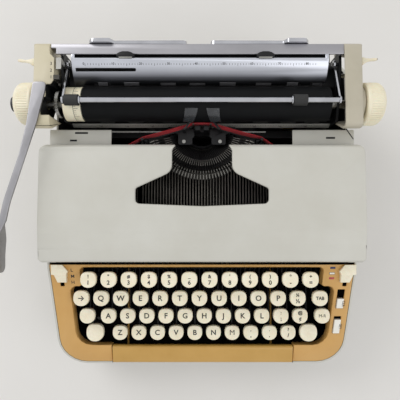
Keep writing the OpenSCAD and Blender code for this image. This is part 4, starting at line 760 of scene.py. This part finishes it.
# platen knobs: fluted from fluteFrom to fluteTo, four points to a flute; the left one has a bore for the button
knob = {"length": 20.0, "flutes": 56, "fluteDepth": 0.55, "fluteFrom": 3.6, "fluteTo": 13.0, "fluteOver": 15.0,
        "fluteShape": (0.0, 0.55, 1.0, 0.55), "bore": 7.1, "boreDepth": 4.8, "shaft": 4.1,
        "profile": ((0, 4.1), (0, 18.2), (0.35, 19.3), (1.5, 20), (3.4, 20), (3.8, 20), (10.5, 20), (12.0, 19.95),
                    (12.9, 19.85), (14.1, 19.55), (16.0, 18.35), (17.7, 16.4), (18.9, 14.0), (19.65, 11.2),
                    (19.95, 9.0), (20, 8.0)),
        "places": (("leftKnob", "knob_left", -155.0, -1, True), ("rightKnob", "knob_right", 150.5, 1, False))}


def makeKnob(name, node, x, side, hasBore):
    end, floor = knob["length"], knob["length"] - knob["boreDepth"]
    bore = [(end, knob["bore"]), (floor, knob["bore"]), (floor, knob["shaft"])] if hasBore else [(end, knob["shaft"])]
    points = knob["flutes"] * len(knob["fluteShape"])
    mesh = turnedShape([*knob["profile"], *bore], points)
    for v in mesh.verts:
        along, r = v.co.x / mm, math.hypot(v.co.y, v.co.z) / mm
        if knob["fluteFrom"] < along < knob["fluteTo"] and r > knob["fluteOver"]:
            index = round(math.atan2(v.co.z, v.co.y) / (fullTurn / points)) % len(knob["fluteShape"])
            share = 1 - knob["fluteShape"][index] * knob["fluteDepth"] / r
            v.co.y *= share
            v.co.z *= share
    if side < 0:
        bmesh.ops.scale(mesh, vec=(-1, 1, 1), verts=mesh.verts)
        bmesh.ops.reverse_faces(mesh, faces=mesh.faces)
    bmesh.ops.translate(mesh, vec=metres(x, *platenAxis), verts=mesh.verts)
    finishPiece(name, mesh, ["moulded cream ABS, knobs"], node, replaces=True, sharp=24)


for place in knob["places"]:
    makeKnob(*place)
print("knobs made")

# ribbon: a thin woven strip from the printing point to each spool; route holds X and Y
ribbon = {"low": 90.0, "high": 102.7, "thick": 0.3, "step": 1.4, "rows": 4,
          "lean": 1.6, "leanFrom": (7, 18), "leanTo": (44, 58),
          "route": ((0, 89.1), (10, 88.8), (34.4, 81.5), (57, 75.4)),
          "halves": (("leftRibbon", -1, (109.9, 45.8)), ("rightRibbon", 1, (108.2, 39.8)))}


def smoothStep(x, a, b):
    t = min(1.0, max(0.0, (x - a) / (b - a)))
    return t * t * (3 - 2 * t)


def ribbonLine(spool):
    route = [Vector(place) for place in ribbon["route"] + (spool,)]
    line = []
    for a, b in zip(route, route[1:]):
        count = max(1, round((b - a).length / ribbon["step"]))
        line += [a.lerp(b, i / count) for i in range(count)]
    return line + [route[-1]]


def ribbonColumn(mesh, side, place):
    lean = ribbon["lean"] * smoothStep(place.x, *ribbon["leanFrom"]) * (1 - smoothStep(place.x, *ribbon["leanTo"]))
    column = []
    for i in range(ribbon["rows"] + 1):
        share = i / ribbon["rows"]
        height = ribbon["low"] + (ribbon["high"] - ribbon["low"]) * share
        column.append(mesh.verts.new(metres(side * place.x, place.y - lean * (1 - share), height)))
    return column


for name, side, spool in ribbon["halves"]:
    mesh = bmesh.new()
    columns = [ribbonColumn(mesh, side, place) for place in ribbonLine(spool)]
    for one, two in zip(columns, columns[1:]):
        for i in range(ribbon["rows"]):
            mesh.faces.new((one[i], two[i], two[i + 1], one[i + 1]))
    asSheet(mesh, ribbon["thick"])
    half = finishPiece(name, mesh, ["inked cotton ribbon"], "ink_ribbon", replaces=True, rides=False)
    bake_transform(half)
print("ribbon made")

# printed marks: thickness of the letters and how far marks stand over their surface
printing = {"thick": 0.03, "letterLift": 0.03, "barLift": 0.04, "bold": 0.04}


# up is the surface's slope to the rear, in Y and Z
def slanted(place, up):
    turn = Vector((0, *up)).normalized()
    return Matrix.Translation(metres(*place)) @ Matrix(((1, 0, 0), (0, turn.y, -turn.z), (0, turn.z, turn.y))).to_4x4()


def printOn(mesh, words, height, place, up=(1, 0), turn=0.0, bold=printing["bold"]):
    template = letters(words, height, printing["thick"], bold)
    lift = Matrix.Translation((0, 0, printing["letterLift"] * mm))
    stamp(mesh, template, slanted(place, up) @ lift @ Matrix.Rotation(turn, 4, "Z"))
    bpy.data.meshes.remove(template)


def printBar(mesh, width, height, place, up=(1, 0), turn=0.0, lift=printing["barLift"]):
    over = slanted(place, up) @ Matrix.Rotation(turn, 4, "Z") @ Matrix.Translation((0, 0, lift * mm))
    size = Matrix.Diagonal((width * mm, height * mm, 1, 1))
    bmesh.ops.create_grid(mesh, x_segments=1, y_segments=1, size=0.5, matrix=over @ size)


# paper table: curve holds its low, bend and high point in Y and Z, as in the source
table = {"curve": ((122.5, 110.5), (129.2, 119.6), (143.4, 124.0)), "first": -107.0, "pitch": 2.54, "count": 84,
         "width": 0.35, "long": (137.9, 2.1), "short": (138.3, 1.4), "numberY": 138.6, "number": 2.1, "zeroLeft": 1.4}
# numbers of the line space selector on the left cap
spacing = {"height": 2.9, "z": 125.0, "marks": ((-136.9, 137.6, "3"), (-136.8, 131.4, "2"), (-136.7, 125.2, "1"))}
# scale in front of the platen: along is its slope as a unit vector
scale = {"range": (-40, 45), "pitch": 2.54, "width": 0.3, "long": 2.0, "short": 1.2, "up": (2.7, 4.9),
         "along": (0.483, 0.876), "foot": (89.85, 85.85), "head": 1.5, "numberAt": (89.5, 85.2), "number": 1.9,
         "numberRight": 1.9, "bold": 0.02}


def onTable(y):
    (y0, z0), (y1, z1), (y2, z2) = table["curve"]
    a, b, c = y0 - 2 * y1 + y2, 2 * (y1 - y0), y0 - y
    t = (-b + math.sqrt(b * b - 4 * a * c)) / (2 * a)
    z = (1 - t) ** 2 * z0 + 2 * t * (1 - t) * z1 + t * t * z2
    return z, (2 * (1 - t) * (y1 - y0) + 2 * t * (y2 - y1), 2 * (1 - t) * (z1 - z0) + 2 * t * (z2 - z1))


marks = bmesh.new()
for i in range(table["count"]):
    x = table["first"] + i * table["pitch"]
    y, length = table["short"] if i % 5 else table["long"]
    z, up = onTable(y)
    if i % 10 or not i:
        printBar(marks, table["width"], length, (x, y, z), up)
    if i % 10 == 0:
        z, up = onTable(table["numberY"])
        printOn(marks, str(i), table["number"], (x - (0 if i else table["zeroLeft"]), table["numberY"], z), up)
for x, y, words in spacing["marks"]:
    printOn(marks, words, spacing["height"], (x, y, spacing["z"]))
for i in range(*scale["range"]):
    x = i * scale["pitch"]
    length = scale["short"] if i % 5 else scale["long"]
    rise = scale["head"] - length / 2
    y, z = (foot + step * rise for foot, step in zip(scale["foot"], scale["along"]))
    printBar(marks, scale["width"], length, (x, y, z), scale["up"])
    if i % 10 == 0:
        number, place = str(i - scale["range"][0]), (x + scale["numberRight"], *scale["numberAt"])
        printOn(marks, number, scale["number"], place, scale["up"], bold=scale["bold"])
finishPiece("carriageMarks", marks, ["black printing ink"], "paper_table", smooth=False)

# marks on the slope of the key frame: letters, coloured bars on a black field, and the words of the two tabs
slope = {"up": (104.0, 45.0), "height": 3.3, "bold": 0.1, "field": (5.2, 2.4, (124.8, -54.9, 92.9)), "fieldLift": 0.02,
         "letters": ((-124.7, -51.9, 94.2, "L"), (-124.4, -57.9, 91.6, "M"), (-124.8, -64.0, 88.9, "H")),
         "bars": (("blue", -49.3, 95.3, 5.0, 2.3), ("white", -54.9, 92.9, 4.6, 1.8), ("red", -59.8, 90.8, 5.0, 2.3)),
         "barX": 124.9, "barLift": 0.05, "wordX": 139.3, "word": 2.7,
         "words": (("clearMark", "CLR", "tab_clear_slider", -85.9, 81.07),
                   ("setMark", "SET", "tab_set_slider", -110.9, 70.25))}
marks = bmesh.new()
for x, y, z, words in slope["letters"]:
    printOn(marks, words, slope["height"], (x, y, z), slope["up"], bold=slope["bold"])
printBar(marks, *slope["field"], slope["up"], lift=slope["fieldLift"])
finishPiece("slopeMarks", marks, ["black printing ink"], "keyboard_surround", smooth=False)
for ink, y, z, width, height in slope["bars"]:
    marks = bmesh.new()
    printBar(marks, width, height, (slope["barX"], y, z), slope["up"], lift=slope["barLift"])
    finishPiece(ink + "Mark", marks, [ink + " printing ink"], "keyboard_surround", smooth=False)
for name, words, node, y, z in slope["words"]:
    marks = bmesh.new()
    printOn(marks, words, slope["word"], (slope["wordX"], y, z), slope["up"], turn=-fullTurn / 4)
    finishPiece(name, marks, ["black printing ink"], node, smooth=False)
print("marks made")

# pale plates in the table's windows, painted light for the light that shows through them: X of both ends, then Y and Z
# of the lower and upper edge
windows = {"low": (122.9, 109.9), "high": (124.9, 112.6), "thick": 0.5,
           "ends": ((-97.2, -88.6), (-73.4, -58.9), (-38.9, -24.5), (-11.4, 3.5), (16.2, 31.4), (50.2, 65.0),
                    (79.6, 89.8), (103.6, 112.8))}
plates = bmesh.new()
for x0, x1 in windows["ends"]:
    corners = [(x0, *windows["low"]), (x1, *windows["low"]), (x1, *windows["high"]), (x0, *windows["high"])]
    plates.faces.new([plates.verts.new(metres(*corner)) for corner in corners])
asSheet(plates, windows["thick"])
finishPiece("windowPlates", plates, ["satin anodised aluminium"], "paper_table")

# black plates that close the gaps behind and under the paper table, painted shade for the dark of these gaps: lowest
# and highest corner
gapPlates = {"round": 0.3, "corners": (((-118.0, 140.0, 117.4), (118.0, 152.0, 118.2)),
                                  ((-126.5, 122.9, 104.4), (126.8, 141.0, 105.2)))}
plates = bmesh.new()
for low, high in gapPlates["corners"]:
    middle, size = (metres(*low) + metres(*high)) / 2, metres(*high) - metres(*low)
    bmesh.ops.create_cube(plates, size=1, matrix=Matrix.Translation(middle) @ Matrix.Diagonal((*size, 1)))
roundEdges(plates, plates.edges[:], gapPlates["round"], 2)
finishPiece("gapShadePlates", plates, ["black japanned steel"], "carriage_frame")

# lines and ticks round the platen's collar; over is their radius, under the depth of the lines
collar = {"lines": (-118.6, -111.5), "lineWidth": 0.35, "under": 15.7, "over": 15.98, "points": 72, "ticks": 48,
          "tickX": -118.2, "long": 4.2, "short": 2.4, "tickWidth": 0.3, "tickRadius": 15.96}
onAxis = Matrix.Translation(metres(0, *platenAxis))
rings = bmesh.new()
for x in collar["lines"]:
    x1, low, high = x + collar["lineWidth"], collar["under"], collar["over"]
    ring = asTemplate(turnedShape(((x, low), (x, high), (x1, high), (x1, low)), collar["points"]))
    stamp(rings, ring, onAxis)
    bpy.data.meshes.remove(ring)
for i in range(collar["ticks"]):
    length = collar["short"] if i % 4 else collar["long"]
    tick = Matrix.Translation(metres(collar["tickX"] + length / 2, 0, collar["tickRadius"]))
    size = Matrix.Diagonal((length * mm, collar["tickWidth"] * mm, 1, 1))
    bmesh.ops.create_grid(rings, x_segments=1, y_segments=1, size=0.5,
                          matrix=onAxis @ Matrix.Rotation(i * fullTurn / collar["ticks"], 4, "X") @ tick @ size)
finishPiece("collarMarks", rings, ["black printing ink"], "platen_collar", smooth=False)

# washers beside the bail's rollers, on the bail's axis in Y and Z
washer = {"axis": (103.8, 126.287), "bore": 2.35, "face": 3.4, "rim": 3.7, "edge": 0.2, "points": 32,
          "places": (("leftWasher", -110.9, -109.4), ("rightWasher", 80.3, 81.8))}
for name, x0, x1 in washer["places"]:
    bore, face, rim, edge = (washer[key] for key in ("bore", "face", "rim", "edge"))
    profile = ((x0, bore), (x0, face), (x0 + edge, rim), (x1 - edge, rim), (x1, face), (x1, bore))
    mesh = turnedShape(profile, washer["points"])
    bmesh.ops.translate(mesh, vec=metres(0, *washer["axis"]), verts=mesh.verts)
    finishPiece(name, mesh, ["polished chrome"], "paper_bail")

# toothed strips in front of the platen: teeth holds X from a tooth's right side and Y of its four corners
strip = {"pitch": 1.27, "rear": 85.0, "z": 84.0, "thick": 0.6,
         "teeth": ((0.0, 84.3), (-0.35, 83.5), (-0.75, 83.5), (-1.0, 84.3)),
         "places": (("leftTeeth", -102.0, -19.5), ("rightTeeth", 23.1, 64.0))}
for name, x0, x1 in strip["places"]:
    mesh = bmesh.new()
    outline = [(x0, strip["rear"]), (x1, strip["rear"])]
    for i in range(int((x1 - x0) / strip["pitch"]), 0, -1):
        outline += [(x0 + i * strip["pitch"] + x, y) for x, y in strip["teeth"]]
    mesh.faces.new([mesh.verts.new(metres(x, y, strip["z"])) for x, y in outline])
    asSheet(mesh, strip["thick"])
    finishPiece(name, mesh, ["bright steel"], "chassis")

# painted highlights on the backs of the type bars and the segment's slots: thin bright strips in rings round the
# printing point, laid on what is under them; a strip is left out where the ground under it drops by more than gap
backs = {"centre": 88.5, "count": 44, "step": 3.3, "width": 0.6, "lift": 0.08, "gap": 1.5, "parts": 4, "from": 110.0,
         "down": 30.0, "rings": ((20.0, 31.0), (33.0, 39.5), (45.0, 53.0), (56.0, 76.0)),
         "pieces": (("barHighlights", ("typebars", "type_segment")), ("barHighlightH", ("typebar_h",)))}


def groundOf(nodes):
    mesh = bmesh.new()
    for node in nodes:
        mesh.from_mesh(frame["nodes"][node].data)
    tree = BVHTree.FromBMesh(mesh)
    mesh.free()
    return tree


def layStrip(mesh, ground, angle, r0, r1):
    across = Vector((math.cos(angle), math.sin(angle), 0)) * backs["width"] / 2 * mm
    lift = metres(0, 0, backs["lift"])
    spots = []
    for i in range(backs["parts"] + 1):
        r = r0 + (r1 - r0) * i / backs["parts"]
        start = metres(math.sin(angle) * r, backs["centre"] - math.cos(angle) * r, backs["from"])
        spots.append(ground.ray_cast(start, Vector((0, 0, -1)), backs["down"] * mm)[0])
    for one, two in zip(spots, spots[1:]):
        if one and two and abs(one.z - two.z) < backs["gap"] * mm:
            corners = (one - across, two - across, two + across, one + across)
            mesh.faces.new([mesh.verts.new(corner + lift) for corner in corners])


for name, nodes in backs["pieces"]:
    ground = groundOf(nodes)
    lines = bmesh.new()
    for i in range(backs["count"]):
        angle = math.radians((i - (backs["count"] - 1) / 2) * backs["step"])
        for r0, r1 in backs["rings"]:
            layStrip(lines, ground, angle, r0, r1)
    finishPiece(name, lines, ["steel backs, painted highlight"], nodes[0], smooth=False)

# slots in the deck, drawn as black inlays, painted shade for the openings: X, Y, length, width, turn in radians
deckSlots = {"z": 95.0, "places": ((-117.2, 80.8, 12.6, 1.8, 0.0), (-124.9, 73.4, 6.8, 1.8, 0.0),
                                   (125.0, 76.0, 8.8, 1.8, 0.0), (143.8, 79.8, 12.4, 1.0, -0.986))}
slots = bmesh.new()
for x, y, length, width, turn in deckSlots["places"]:
    printBar(slots, length, width, (x, y, deckSlots["z"]), turn=turn)
finishPiece("deckSlots", slots, ["black japanned steel"], "base_shell", smooth=False)
print("small parts made")
